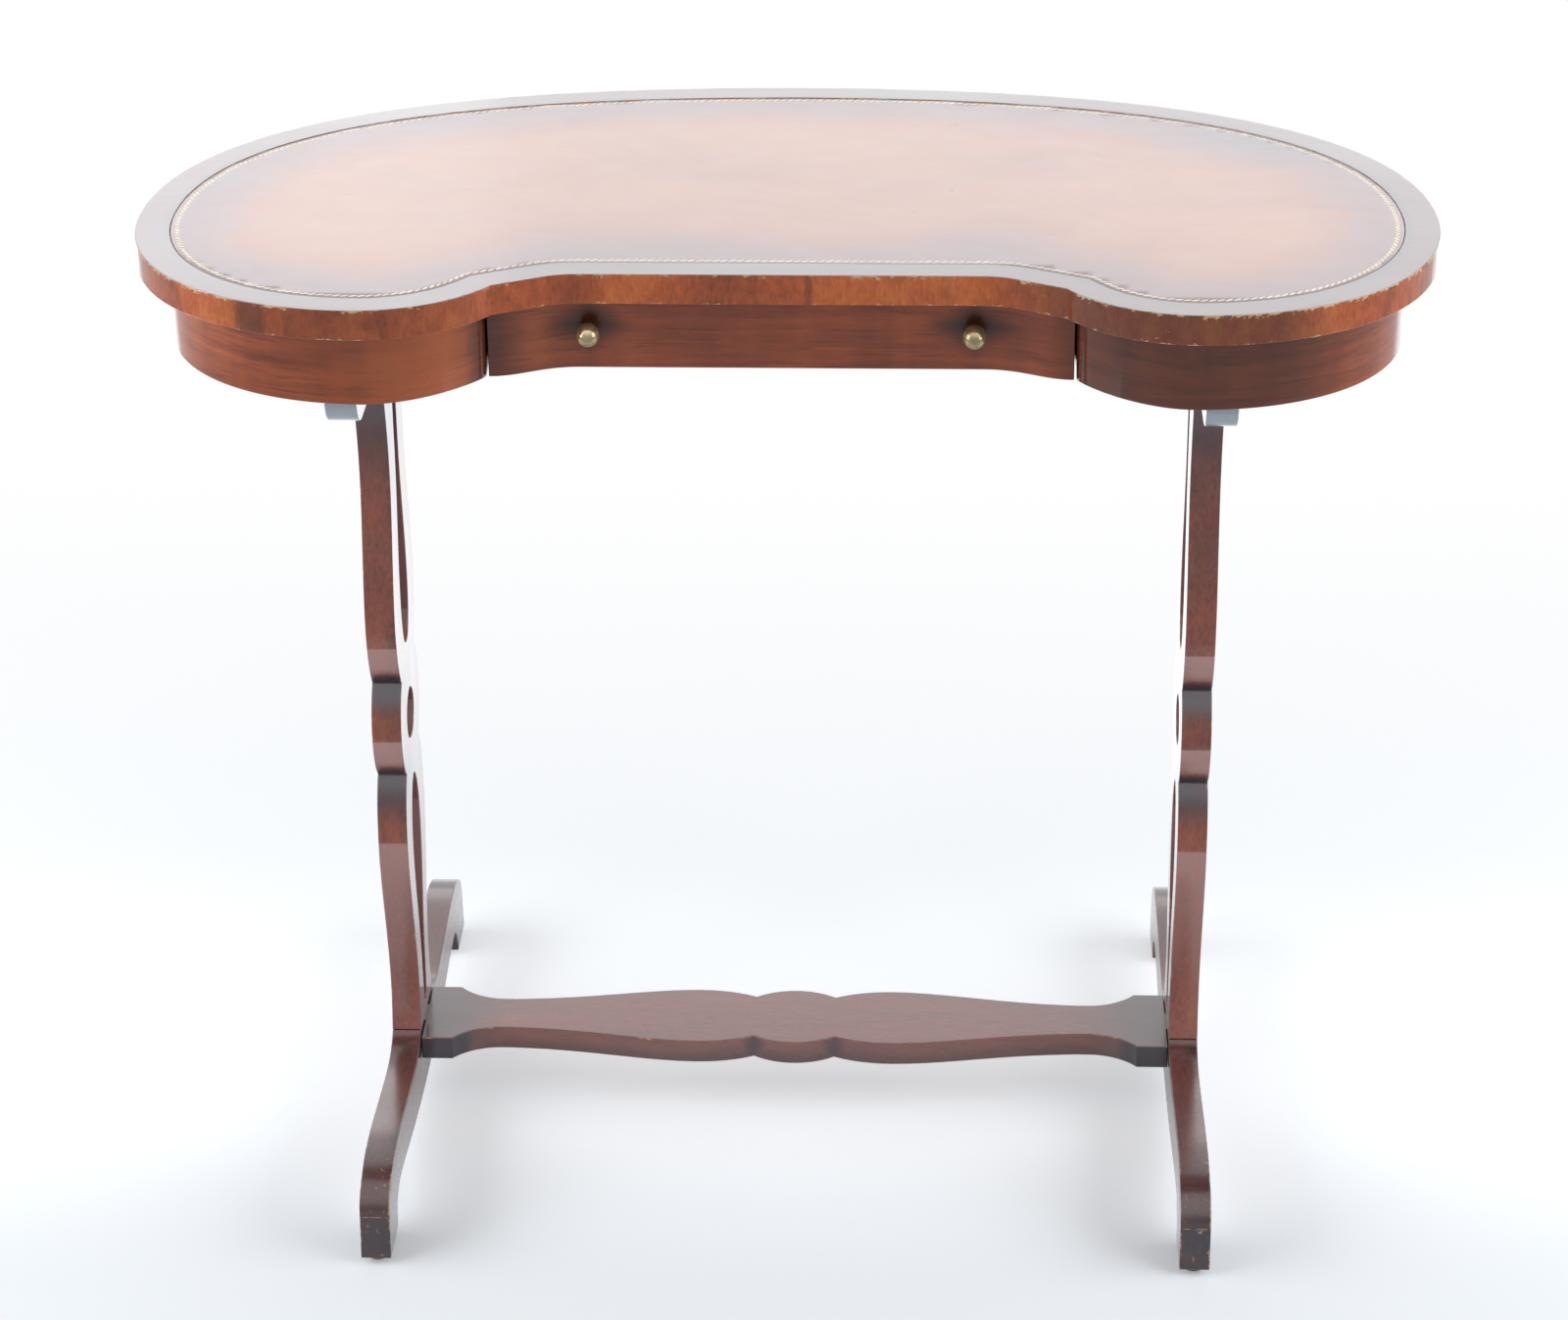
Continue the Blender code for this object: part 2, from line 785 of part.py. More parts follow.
def mortise(name, side):
    """The hole in the foot's inner face for the stretcher's tenon."""
    return side_box(
        "mortise_" + name,
        side,
        board_inner - cut_overrun,
        board_inner + tenon_length + touch_gap,
        (-tenon_half - touch_gap, tenon_half + touch_gap),
        (stretcher_bottom - touch_gap, stretcher_top + touch_gap),
        inside_wood,
    )


def add_dowels(name, x, spacing, level, board_below, board_above):
    """Two dowels across the joint between two boards, with the bores they sit in."""
    for place, y in (("front", -spacing / 2), ("back", spacing / 2)):
        half = dowel_half_length
        low = (x, y, level - half)
        high = (x, y, level + half)
        round_pin(f"{name}_{place}", dowel_radius, low, high, inside_wood)
        half += touch_gap
        low = (x, y, level - half)
        high = (x, y, level + half)
        bore = round_pin(name + "_bore", dowel_radius + touch_gap, low, high, inside_wood)
        cut(board_below, bore)
        cut(board_above, bore)


def add_glide(name, x, y, foot):
    """A disc under the toe, with its nail in the foot."""
    profile = [
        (0, glide_height + glide_nail_length),
        (glide_nail_radius, glide_height + glide_nail_length - glide_nail_radius),
        (glide_nail_radius, glide_height),
        (glide_radius, glide_height),
        (glide_radius, 0),
        (0, 0),
    ]
    glide = turned(name, profile, glide_brown)
    glide.location = (x, y, 0)
    low = (x, y, foot_bottom - cut_overrun)
    high = (x, y, glide_height + glide_nail_length + touch_gap)
    cut(foot, round_pin("nail_hole", glide_nail_radius + touch_gap, low, high, steel))


def build_foot(name, side):
    foot = flat_board("foot_" + name, [foot_outline()], board_thickness, dark_mahogany)
    stand(foot, side * board_middle)
    return cut(foot, mortise(name, side))


# Lyres

def up_the_lyre(share):
    """The level at a share of the way from the foot to the head rail."""
    return seat_height + (lyre_head_height - seat_height) * share


def lyre_outline():
    ankle = (lyre_ankle_half, up_the_lyre(lyre_ankle_height_share))
    bowl = (lyre_bowl_half, up_the_lyre(lyre_bowl_height_share))
    low_notch = (lower_notch_half, up_the_lyre(lower_notch_height_share))
    high_notch = (upper_notch_half, up_the_lyre(upper_notch_height_share))
    shoulder = (lyre_shoulder_half, up_the_lyre(lyre_shoulder_height_share))
    neck = (lyre_neck_half, up_the_lyre(lyre_neck_height_share))
    head = (lyre_head_half, lyre_head_height)
    points = [(lyre_foot_half, lyre_bottom)]
    points += curve(points[-1], ankle, lyre_ankle_shares, 5)
    points += curve(ankle, bowl, lyre_bowl_shares, 9)
    points += curve(bowl, low_notch, lyre_lower_notch_shares, 7)
    points += bow(low_notch, high_notch, boss_rise, 10)
    points += [high_notch]
    points += curve(high_notch, shoulder, lyre_shoulder_shares, 7)
    points += curve(shoulder, neck, lyre_neck_shares, 8)
    points += curve(neck, head, lyre_head_shares, 7)
    return mirrored(points)


def lower_slot():
    foot = (lower_slot_foot_half, up_the_lyre(lower_slot_foot_height_share))
    widest = (lower_slot_half, up_the_lyre(lower_slot_height_share))
    crown = (0, up_the_lyre(lower_slot_top_share))
    points = [(0, up_the_lyre(lower_slot_bottom_share))]
    points += curve(points[0], foot, lower_slot_foot_shares, 5)
    points += curve(foot, widest, lower_slot_side_shares, 8)
    points += curve(widest, crown, lower_slot_crown_shares, 8)
    return mirrored(points)


def upper_slot():
    widest = (upper_slot_half, up_the_lyre(upper_slot_height_share))
    neck = (upper_slot_neck_half, up_the_lyre(upper_slot_neck_height_share))
    crown = (0, up_the_lyre(upper_slot_top_share))
    points = [(0, up_the_lyre(upper_slot_bottom_share))]
    points += curve(points[0], widest, upper_slot_bowl_shares, 8)
    points += curve(widest, neck, upper_slot_side_shares, 8)
    points += curve(neck, crown, upper_slot_crown_shares, 6)
    return mirrored(points)


def build_lyre(name, side):
    eye_centre = (0, up_the_lyre(eye_height_share))
    eye = arc(eye_centre, eye_radius, 0, 360, full_turn_steps)[:-1]
    outlines = [lyre_outline(), lower_slot(), eye, upper_slot()]
    lyre = flat_board("lyre_" + name, outlines, board_thickness, dark_mahogany)
    return stand(lyre, side * board_middle)


# Head rails, cleats and screws

def rail_outline():
    radius = rail_nose_radius
    nose_level = rail_bottom + radius
    points = [(rail_front, apron_top)]
    points += arc((rail_front + radius, nose_level), radius, 180, 270, 6)
    points += arc((rail_back - radius, nose_level), radius, 270, 360, 6)
    points += [(rail_back, apron_top)]
    return points


def add_cleat(name, side, core):
    """A strip glued along the rail and screwed up into the top."""
    inner = board_outer + touch_gap
    outer = inner + cleat_section
    bottom = apron_top - cleat_section
    half_length = (rail_back - rail_front) * cleat_length_share / 2
    screw_out = half_length * cleat_screw_spacing_share
    cleat = side_box(
        "rail_cleat_" + name,
        side,
        inner,
        outer,
        (-half_length, half_length),
        (bottom, apron_top),
        inside_wood,
    )
    x = side * (inner + outer) / 2
    shank = top_underside + cleat_screw_bite - bottom
    profile = screw_profile(cleat_screw_head_radius, cleat_screw_head_height, cleat_screw_radius, shank)
    for place, y in (("front", -screw_out), ("back", screw_out)):
        screw = turned(f"cleat_screw_{name}_{place}", profile, steel, screw_turn_steps)
        screw.location = (x, y, bottom - touch_gap)
        low = (x, y, bottom - cut_overrun)
        high = (x, y, bottom + shank + touch_gap)
        hole = round_pin("cleat_screw_hole", cleat_screw_radius + touch_gap, low, high, steel)
        cut(cleat, hole)
        cut(core, hole)


# Stretcher

def stretcher_outline():
    half = board_inner * stretcher_middle_out_share
    rise = stretcher_middle_rise
    radius = (half**2 + rise**2) / (2 * rise)
    centre = (0, stretcher_middle_half + rise - radius)
    spread = math.degrees(math.asin(half / radius))
    swell = (board_inner * stretcher_swell_out_share, stretcher_swell_half)
    waist = (board_inner * stretcher_waist_out_share, stretcher_waist_half)
    face = board_inner - touch_gap
    block = (face - stretcher_block_length, stretcher_block_half)
    tenon_end = board_inner + tenon_length
    quarter = arc(centre, radius, 90, 90 - spread, 5)
    quarter += curve(quarter[-1], swell, stretcher_swell_shares, 6)
    quarter += curve(swell, waist, stretcher_waist_shares, 10)
    quarter += curve(waist, block, stretcher_block_shares, 6)
    corners = [(face, stretcher_block_half), (face, tenon_half), (tenon_end, tenon_half)]
    quarter += [Vector(corner) for corner in corners]
    front = [Vector((point.x, -point.y)) for point in quarter]
    return mirrored(front + quarter[::-1])


def build_stretcher():
    board = flat_board("stretcher", [stretcher_outline()], stretcher_thickness, dark_mahogany)
    lay_flat(board, stretcher_bottom, stretcher_top)


def build_base(core):
    glide_out = foot_toe_out - glide_back_from_toe
    for name, side in sides:
        x = side * board_middle
        foot = build_foot(name, side)
        lyre = build_lyre(name, side)
        rail = flat_board("head_rail_" + name, [rail_outline()], board_thickness, dark_mahogany)
        stand(rail, x)
        add_dowels("foot_dowel_" + name, x, foot_dowel_spacing, seat_height, foot, lyre)
        add_dowels("head_dowel_" + name, x, head_dowel_spacing, lyre_head_height, lyre, rail)
        for place, y in (("front", -glide_out), ("back", glide_out)):
            add_glide(f"glide_{name}_{place}", x, y, foot)
        add_cleat(name, side, core)
    build_stretcher()


top_core = build_top()
build_apron()
build_partitions()
build_glue_blocks()
build_drawer()
build_base(top_core)
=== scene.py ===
import math

import bmesh
import bpy
from mathutils import Matrix, Vector
from mathutils.geometry import interpolate_bezier


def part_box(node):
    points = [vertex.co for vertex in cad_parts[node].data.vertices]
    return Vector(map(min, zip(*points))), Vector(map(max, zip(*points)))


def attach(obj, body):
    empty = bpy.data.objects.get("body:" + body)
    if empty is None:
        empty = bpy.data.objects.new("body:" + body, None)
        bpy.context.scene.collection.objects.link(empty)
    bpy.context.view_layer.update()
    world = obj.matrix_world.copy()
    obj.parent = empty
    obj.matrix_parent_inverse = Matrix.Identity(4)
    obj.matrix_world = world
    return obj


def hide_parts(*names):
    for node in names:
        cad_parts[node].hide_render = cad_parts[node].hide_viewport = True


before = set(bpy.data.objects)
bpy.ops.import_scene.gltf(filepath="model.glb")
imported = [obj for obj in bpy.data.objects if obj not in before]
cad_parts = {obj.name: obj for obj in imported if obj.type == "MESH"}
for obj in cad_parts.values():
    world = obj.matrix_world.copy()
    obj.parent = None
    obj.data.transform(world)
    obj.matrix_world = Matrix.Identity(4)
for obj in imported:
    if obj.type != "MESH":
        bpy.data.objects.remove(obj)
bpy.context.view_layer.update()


# Camera
# It stands a little right of the desk's middle, above the top, and looks down at it. Its place, lens
# and angles were fitted to the photograph.
camera_place = (0.1078, -2.7284, 1.6954)
turn_right = -0.041713
look_down = 0.450644
tilt = -0.00925
camera = bpy.data.objects.new("camera", bpy.data.cameras.new("camera"))
bpy.context.scene.collection.objects.link(camera)
bpy.context.scene.camera = camera
camera.data.sensor_width = 36
camera.data.lens = 93.735
camera.data.clip_start = 0.05
level_ahead = Vector((math.sin(turn_right), math.cos(turn_right), 0))
ahead = level_ahead * math.cos(look_down) - Vector((0, 0, math.sin(look_down)))
level_right = Vector((math.cos(turn_right), -math.sin(turn_right), 0))
level_up = level_right.cross(ahead)
right = level_right * math.cos(tilt) + level_up * math.sin(tilt)
up = level_up * math.cos(tilt) - level_right * math.sin(tilt)
facing_desk = Matrix((right, up, -ahead)).transposed().to_4x4()
camera.matrix_world = Matrix.Translation(camera_place) @ facing_desk


# Feet
# Each foot is one arched board of dark mahogany, sawn to shape, with the arrises eased. It is
# stained almost black at the toes, lacquered, and dowelled up into its lyre.
both_sides = ("left", "right")
weld = 1e-6
same_level = 1e-5
straight_along = 0.999
much_longer = 2.5
turn_per_step = 5
mortise_corners = 4
widest_mortise = 0.05
stood_on_edge = ((0, 0, 1), (1, 0, 0), (0, 1, 0))
nearly_straight = math.radians(0.05)
sharp_arris = math.radians(40)
arris_facets = 3
crease_angle = math.radians(42)


def edges_of_sawn_face(node, axis):
    """The closed outlines of a CAD board's face that looks along an axis, as points in its plane."""
    work = bmesh.new()
    work.from_mesh(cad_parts[node].data)
    bmesh.ops.remove_doubles(work, verts=work.verts, dist=weld)
    work.normal_update()
    flat = [face for face in work.faces if abs(face.normal[axis]) > straight_along]
    level = max(face.calc_center_median()[axis] for face in flat)
    sawn = [face for face in flat if level - face.calc_center_median()[axis] < same_level]
    following = {}
    for face in sawn:
        for loop in face.loops:
            if sum(other in sawn for other in loop.edge.link_faces) == 1:
                following[loop.vert] = loop.link_loop_next.vert
    outlines = []
    while following:
        start, vert = following.popitem()
        outline = [start]
        while vert != start:
            outline.append(vert)
            vert = following.pop(vert)
        outlines.append([Vector((v.co[axis - 2], v.co[axis - 1])) for v in outline])
    work.free()
    return outlines


def faired(outline, corner):
    """The outline with more points, on the smooth curve that runs through them between corners."""
    count = len(outline)
    chords = [outline[(place + 1) % count] - outline[place] for place in range(count)]
    headings = []
    for place, ahead_chord in enumerate(chords):
        last_chord = chords[place - 1]
        if math.degrees(last_chord.angle(ahead_chord)) > corner:
            headings.append(None)
        elif ahead_chord.length > much_longer * last_chord.length:
            headings.append(ahead_chord.normalized())
        elif last_chord.length > much_longer * ahead_chord.length:
            headings.append(last_chord.normalized())
        else:
            leaving = ahead_chord.normalized() * last_chord.length
            headings.append((leaving + last_chord.normalized() * ahead_chord.length).normalized())
    points = []
    for place, chord in enumerate(chords):
        along = chord.normalized()
        leave, arrive = headings[place], headings[(place + 1) % count]
        if leave is None and arrive is None:
            leave = arrive = along
        elif leave is None:
            leave = 2 * arrive.dot(along) * along - arrive
        elif arrive is None:
            arrive = 2 * leave.dot(along) * along - leave
        pieces = max(1, math.ceil(math.degrees(leave.angle(arrive)) / turn_per_step))
        end = outline[(place + 1) % count]
        reach = chord.length / 3
        handles = (outline[place], outline[place] + leave * reach, end - arrive * reach, end)
        points += interpolate_bezier(*handles, pieces + 1)[:-1]
    return points


def pick(piece):
    bpy.ops.object.select_all(action="DESELECT")
    piece.select_set(True)
    bpy.context.view_layer.objects.active = piece


def apply_all(piece):
    pick(piece)
    for modifier in list(piece.modifiers):
        bpy.ops.object.modifier_apply(modifier=modifier.name)


def shade_flats_flat(piece):
    """Smooth shading round the eased arrises, with the broad faces kept flat."""
    pick(piece)
    bpy.ops.object.shade_smooth_by_angle(angle=crease_angle)
    flatten = piece.modifiers.new("flatten", "WEIGHTED_NORMAL")
    flatten.keep_sharp = True
    apply_all(piece)


def sawn_board(node, name, axis, corner=40.0, arris=0.0009):
    """A board sawn to a CAD node's outline, its curves faired and its arrises rounded over."""
    low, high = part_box(node)
    drawing = bpy.data.curves.new(name, "CURVE")
    drawing.dimensions = "2D"
    drawing.fill_mode = "BOTH"
    drawing.extrude = (high[axis] - low[axis]) / 2
    for outline in edges_of_sawn_face(node, axis):
        if len(outline) <= mortise_corners and (outline[0] - outline[2]).length < widest_mortise:
            continue  # the stretcher's mortise, filled by its tenon
        points = faired(outline, corner)
        spline = drawing.splines.new("POLY")
        spline.points.add(len(points) - 1)
        for drawn, point in zip(spline.points, points):
            drawn.co = (point.x, point.y, 0, 1)
        spline.use_cyclic_u = True
    board = bpy.data.objects.new(name, drawing)
    bpy.context.scene.collection.objects.link(board)
    pick(board)
    bpy.ops.object.convert(target="MESH")
    board = bpy.context.object
    if axis == 0:
        board.data.transform(Matrix(stood_on_edge).to_4x4())
    middle = Vector((0, 0, 0))
    middle[axis] = (low[axis] + high[axis]) / 2
    board.data.transform(Matrix.Translation(middle))
    bpy.ops.object.mode_set(mode="EDIT")
    bpy.ops.mesh.select_all(action="SELECT")
    bpy.ops.mesh.remove_doubles(threshold=weld)
    bpy.ops.mesh.dissolve_limited(angle_limit=nearly_straight)
    bpy.ops.mesh.normals_make_consistent(inside=False)
    bpy.ops.object.mode_set(mode="OBJECT")
    ease = board.modifiers.new("ease", "BEVEL")
    ease.width = arris
    ease.segments = arris_facets
    ease.limit_method = "ANGLE"
    ease.angle_limit = sharp_arris
    ease.use_clamp_overlap = False
    ease.material = 0
    apply_all(board)
    shade_flats_flat(board)
    return board


def in_place_of(piece, body, slot, *nodes):
    """Hands a finished piece to the body that carries it, instead of its CAD nodes."""
    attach(piece, body)
    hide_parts(*nodes)


def dress(piece, *finishes):
    piece.data.materials.clear()
    for made in finishes:
        piece.data.materials.append(made)


def feed(made, node, sockets):
    """Gives each socket of a node a value, or what an earlier node gives."""
    for socket, value in sockets.items():
        if isinstance(value, bpy.types.NodeSocket):
            made.node_tree.links.new(value, node.inputs[socket])
        else:
            node.inputs[socket].default_value = value
    return node


def add(made, kind, sockets=None, **settings):
    node = made.node_tree.nodes.new("ShaderNode" + kind)
    for setting, value in settings.items():
        setattr(node, setting, value)
    return feed(made, node, sockets or {})


def worked_out(made, how, values):
    """One value out of several, taken in turn."""
    result = values[0]
    for value in values[1:]:
        result = add(made, "Math", {0: result, 1: value}, operation=how).outputs[0]
    return result


def times(made, *values):
    return worked_out(made, "MULTIPLY", values)


def plus(made, *values):
    return worked_out(made, "ADD", values)


def less(made, *values):
    return worked_out(made, "SUBTRACT", values)


def most(made, *values):
    return worked_out(made, "MAXIMUM", values)


def fade(made, value, start, end, low=0.0, high=1.0):
    """A soft change from low to high as the value goes from start to end."""
    sockets = {"Value": value, "From Min": start, "From Max": end, "To Min": low, "To Max": high}
    return add(made, "MapRange", sockets, interpolation_type="SMOOTHSTEP").outputs["Result"]


def colour_mix(made, share, under, over):
    return add(made, "Mix", {0: share, 6: under, 7: over}, data_type="RGBA").outputs[2]


def cloud(made, stretch, scale=1.0, detail=3.0, roughness=0.55, distortion=0.0):
    """Soft noise fixed in the wood, stretched by its scale along x, y and z."""
    place = add(made, "TexCoord").outputs["Object"]
    place = add(made, "Mapping", {"Vector": place, "Scale": stretch}).outputs["Vector"]
    sockets = {
        "Vector": place,
        "Scale": scale,
        "Detail": detail,
        "Roughness": roughness,
        "Distortion": distortion,
    }
    return add(made, "TexNoise", sockets).outputs["Fac"]


def shades(made, value, *stops):
    ramp = add(made, "ValToRGB", {"Fac": value})
    elements = ramp.color_ramp.elements
    while len(elements) < len(stops):
        elements.new(0.5)
    for element, (place, colour) in zip(elements, stops):
        element.position = place
        element.color = (*colour, 1)
    return ramp.outputs["Color"]


def relief(made, height, strength, depth):
    """The fine unevenness of a surface."""
    sockets = {"Height": height, "Strength": strength, "Distance": depth}
    return add(made, "Bump", sockets).outputs["Normal"]


def uneven_gloss(made, value, low, high):
    """Roughness that follows a cloud, whose values lie mostly from 0.3 to 0.7."""
    return fade(made, value, 0.3, 0.7, low, high)


def surface(made, sockets):
    """Sets the sockets of a finish's own shader."""
    feed(made, made.node_tree.nodes["Principled BSDF"], sockets)
    return made


def lacquered(made, colour, roughness, unevenness, haze):
    """Closes a finish with a clear coat over the coloured wood."""
    wood = {"Base Color": colour, "Roughness": roughness, "Normal": unevenness, "Specular IOR Level": 0.12}
    coat = {"Coat Weight": 1.0, "Coat Roughness": haze, "Coat IOR": 1.5}
    return surface(made, {**wood, **coat})


def new_finish(name):
    made = bpy.data.materials.new(name)
    made.use_nodes = True
    return made


even = (1, 1, 1)
# Bare wood for chips and nicks, also used for painted highlights on arrises.
bare_edge_and_highlight = (0.46, 0.25, 0.12, 1)
# Slate dark, for the stain at the toes and for painted shade on lyres and stretcher.
slate_stain_and_shade = (0.026, 0.031, 0.043, 1)
dark_pores = (0.020, 0.009, 0.007, 1)
aged_tones = ((0.038, 0.013, 0.012), (0.085, 0.024, 0.019), (0.150, 0.042, 0.026))
foot_low, foot_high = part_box("foot_right")
board_half = (foot_high.x - foot_low.x) / 2
board_middle = (foot_high.x + foot_low.x) / 2


def dark_mahogany(name, grain, stain_and_shade=None, wear_and_highlight=None, tones=aged_tones, paling=None, pale=None, haze=0.13):
    """Dark red mahogany: fine grain along the board, clouded stain, and rubbed narrow edges, with the stain
    and painted shade, the paling and the wear and painted highlights that each board is given.
    """
    made = new_finish(name)
    dark, mid, light = tones
    streaks = cloud(made, grain, 12.0, 4.0, 0.65, 0.2)
    figure = cloud(made, grain, 0.8, 3.0, 0.5, 0.4)
    wood = plus(made, times(made, streaks, 0.45), times(made, figure, 0.50))
    colour = shades(made, wood, (0.36, dark), (0.48, mid), (0.66, light))
    pores = fade(made, cloud(made, [s * 14 for s in grain], 1.0, 2.0), 0.60, 0.74)
    colour = colour_mix(made, times(made, pores, 0.35), colour, dark_pores)
    if paling:
        colour = colour_mix(made, paling(made), colour, pale)
    if stain_and_shade:
        colour = colour_mix(made, stain_and_shade(made), colour, slate_stain_and_shade)
    if wear_and_highlight:
        colour = colour_mix(made, wear_and_highlight(made), colour, bare_edge_and_highlight)
    gloss = uneven_gloss(made, figure, 0.26, 0.38)
    return lacquered(made, colour, gloss, relief(made, streaks, 0.025, 0.0004), haze)


def place_of(made, axis):
    where = add(made, "TexCoord").outputs["Object"]
    return add(made, "SeparateXYZ", {0: where}).outputs[axis]


def distance_of(made, value, middle=0.0):
    """How far a value lies from a middle, to either side."""
    return add(made, "Math", {0: less(made, value, middle)}, operation="ABSOLUTE").outputs[0]


def facing(made, axis):
    """How far the surface faces along an axis, from -1 to 1."""
    normal = add(made, "NewGeometry").outputs["Normal"]
    return add(made, "SeparateXYZ", {0: normal}).outputs[axis]


def narrow_face(made):
    """1 on a standing board's sawn edge, 0 on its two broad faces."""
    return fade(made, distance_of(made, facing(made, "X")), 0.70, 0.92, 1.0, 0.0)


def rubbed_arris(made, often):
    """Chips and thin bare lines along the two arrises of a standing board's sawn edge."""
    out = distance_of(made, place_of(made, "X"))
    to_arris = less(made, board_half, distance_of(made, out, board_middle))
    ragged = cloud(made, even, 420.0, 2.0)
    depth = less(made, to_arris, times(made, ragged, 0.0030))
    near = fade(made, depth, -0.0014, -0.0003, 1.0, 0.0)
    somewhere = fade(made, cloud(made, even, 46.0, 3.0, 0.6), often, often + 0.07)
    return times(made, near, somewhere, narrow_face(made))


toe_crease = 0.038
toes_begin = 0.150


def toe_stain(made):
    """Nearly black below the crease at the toe, fading out up the foot."""
    height = place_of(made, "Z")
    out = distance_of(made, place_of(made, "Y"))
    toe = fade(made, out, toes_begin, 0.215)
    low = fade(made, height, toe_crease - 0.004, toe_crease + 0.004, 0.85, 0.42)
    cloudy = fade(made, cloud(made, even, 22.0), 0.35, 0.75, 0.75, 1.0)
    return times(made, toe, low, cloudy)


def toe_wear_and_crease_highlight(made):
    """Chipped arrises, small knocks on the toes, and a broken painted highlight along the crease."""
    out = distance_of(made, place_of(made, "Y"))
    toe = fade(made, out, toes_begin, 0.225)
    edge_knocks = times(made, rubbed_arris(made, 0.46), plus(made, toe, 0.12))
    knocks = fade(made, cloud(made, (1, 1, 0.5), 130.0, 4.0, 0.75, 1.6), 0.645, 0.668)
    knocks = times(made, knocks, toe, narrow_face(made))
    # A painted highlight: a thin light line along the crease of the toe.
    crease = fade(made, distance_of(made, place_of(made, "Z"), toe_crease), 0.0002, 0.0006, 0.55, 0.0)
    broken = fade(made, cloud(made, even, 160.0), 0.40, 0.55)
    crease = times(made, crease, broken, narrow_face(made), fade(made, out, 0.22, 0.24))
    return most(made, edge_knocks, knocks, crease)


foot_finish = dark_mahogany("foot_mahogany", (40, 12, 60), toe_stain, toe_wear_and_crease_highlight, haze=0.20)
for side in both_sides:
    foot = sawn_board(f"foot_{side}", f"arched_foot_{side}", 0, corner=38)
    dress(foot, foot_finish)
    in_place_of(foot, "desk", "dark_mahogany", f"foot_{side}")


# Lyres
# Each end of the desk is one upright mahogany board, sawn and pierced as a lyre, with painted shade dark in
# the notches beside the round boss and a painted reflection paler where its edge turns under. It stands on
# its foot with two dowels.
foot_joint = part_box("foot_left")[1].z
lyre_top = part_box("lyre_left")[1].z
lyre_height = lyre_top - foot_joint
notch_levels = [foot_joint + share * lyre_height for share in (0.3971, 0.5350)]
notch_reaches = (0.042, 0.027)
bowl_turn = foot_joint + 0.3078 * lyre_height
head_shade_begins = foot_joint + 0.76 * lyre_height
head_shade_full = foot_joint + 0.93 * lyre_height
piercings_end = 0.0215
outer_edges_begin = 0.0240
lyre_tones = ((0.125, 0.040, 0.030), (0.210, 0.060, 0.038), (0.320, 0.090, 0.046))
# Pale colour of the painted reflection on the lyre's edge.
lyre_reflection_pale = (0.42, 0.25, 0.235, 1)


def notch_shade_and_joint(made):
    """Painted shade: slate dark bands that fade away from each notch, from the rail and into the piercings,
    with a dark line at the foot joint.
    """
    height = place_of(made, "Z")
    out = distance_of(made, place_of(made, "Y"))
    depth = times(made, fade(made, out, piercings_end, outer_edges_begin, 0.40, 0.0), narrow_face(made))
    for level, reach in zip(notch_levels, notch_reaches):
        above = fade(made, height, level + 0.003, level + 0.014, 0.92, 0.0)
        below = fade(made, height, level - reach, level - 0.006, 0.0, 0.95)
        depth = most(made, times(made, above, below), depth)
    head = fade(made, height, head_shade_begins, head_shade_full, 0.0, 0.78)
    joint = fade(made, distance_of(made, height, foot_joint + 0.0003), 0.0002, 0.0008, 0.5, 0.0)
    return most(made, depth, head, joint)


def swell_painted_reflection(made):
    """Painted reflection: paler where the sawn edge turns under, above each notch and below the bowl, and
    paler in the piercings.
    """
    height = place_of(made, "Z")
    pale = 0.0
    for level in notch_levels:
        rise = fade(made, height, level + 0.006, level + 0.020)
        stop = fade(made, height, level + 0.0350, level + 0.0362, 0.66, 0.0)
        pale = most(made, times(made, rise, stop), pale)
    under_bowl = fade(made, height, foot_joint, bowl_turn, 0.10, 0.56)
    stop = fade(made, height, bowl_turn - 0.0006, bowl_turn + 0.0006, 1.0, 0.0)
    out = distance_of(made, place_of(made, "Y"))
    piercings = fade(made, out, piercings_end, outer_edges_begin, 0.22, 0.0)
    pale = most(made, times(made, under_bowl, stop), pale, piercings)
    return times(made, pale, narrow_face(made))


def lyre_wear(made):
    return rubbed_arris(made, 0.60)


lyre_finish = dark_mahogany(
    "lyre_mahogany", (40, 40, 14), notch_shade_and_joint, lyre_wear, lyre_tones, swell_painted_reflection, lyre_reflection_pale
)
for side in both_sides:
    lyre = sawn_board(f"lyre_{side}", f"pierced_lyre_{side}", 0, corner=60)
    dress(lyre, lyre_finish)
    in_place_of(lyre, "desk", "dark_mahogany", f"lyre_{side}")


# Head rails, cleats, screws and dowels
# A round nosed rail lies on each lyre and under the top. A pine cleat glued to its outer side is
# screwed up into the top, and beech dowels hold rail, lyre and foot together.
both_ends = ("front", "back")
rail_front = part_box("head_rail_left")[0].y
# Grey blue of the painted reflection on the rail's nose.
rail_reflection_grey = (0.33, 0.385, 0.445, 1)


def nose_painted_reflection(made):
    """Painted reflection: the rounded nose is made pale grey blue, fading back from the front."""
    return fade(made, place_of(made, "Y"), rail_front + 0.004, rail_front + 0.075, 0.85, 0.0)


rail_finish = dark_mahogany("rail_mahogany", (40, 9, 60), wear_and_highlight=lyre_wear, paling=nose_painted_reflection, pale=rail_reflection_grey)
for side in both_sides:
    rail = sawn_board(f"head_rail_{side}", f"round_nosed_rail_{side}", 0)
    dress(rail, rail_finish)
    in_place_of(rail, "desk", "dark_mahogany", f"head_rail_{side}")


brown_with_age = (0.20, 0.115, 0.058, 1)


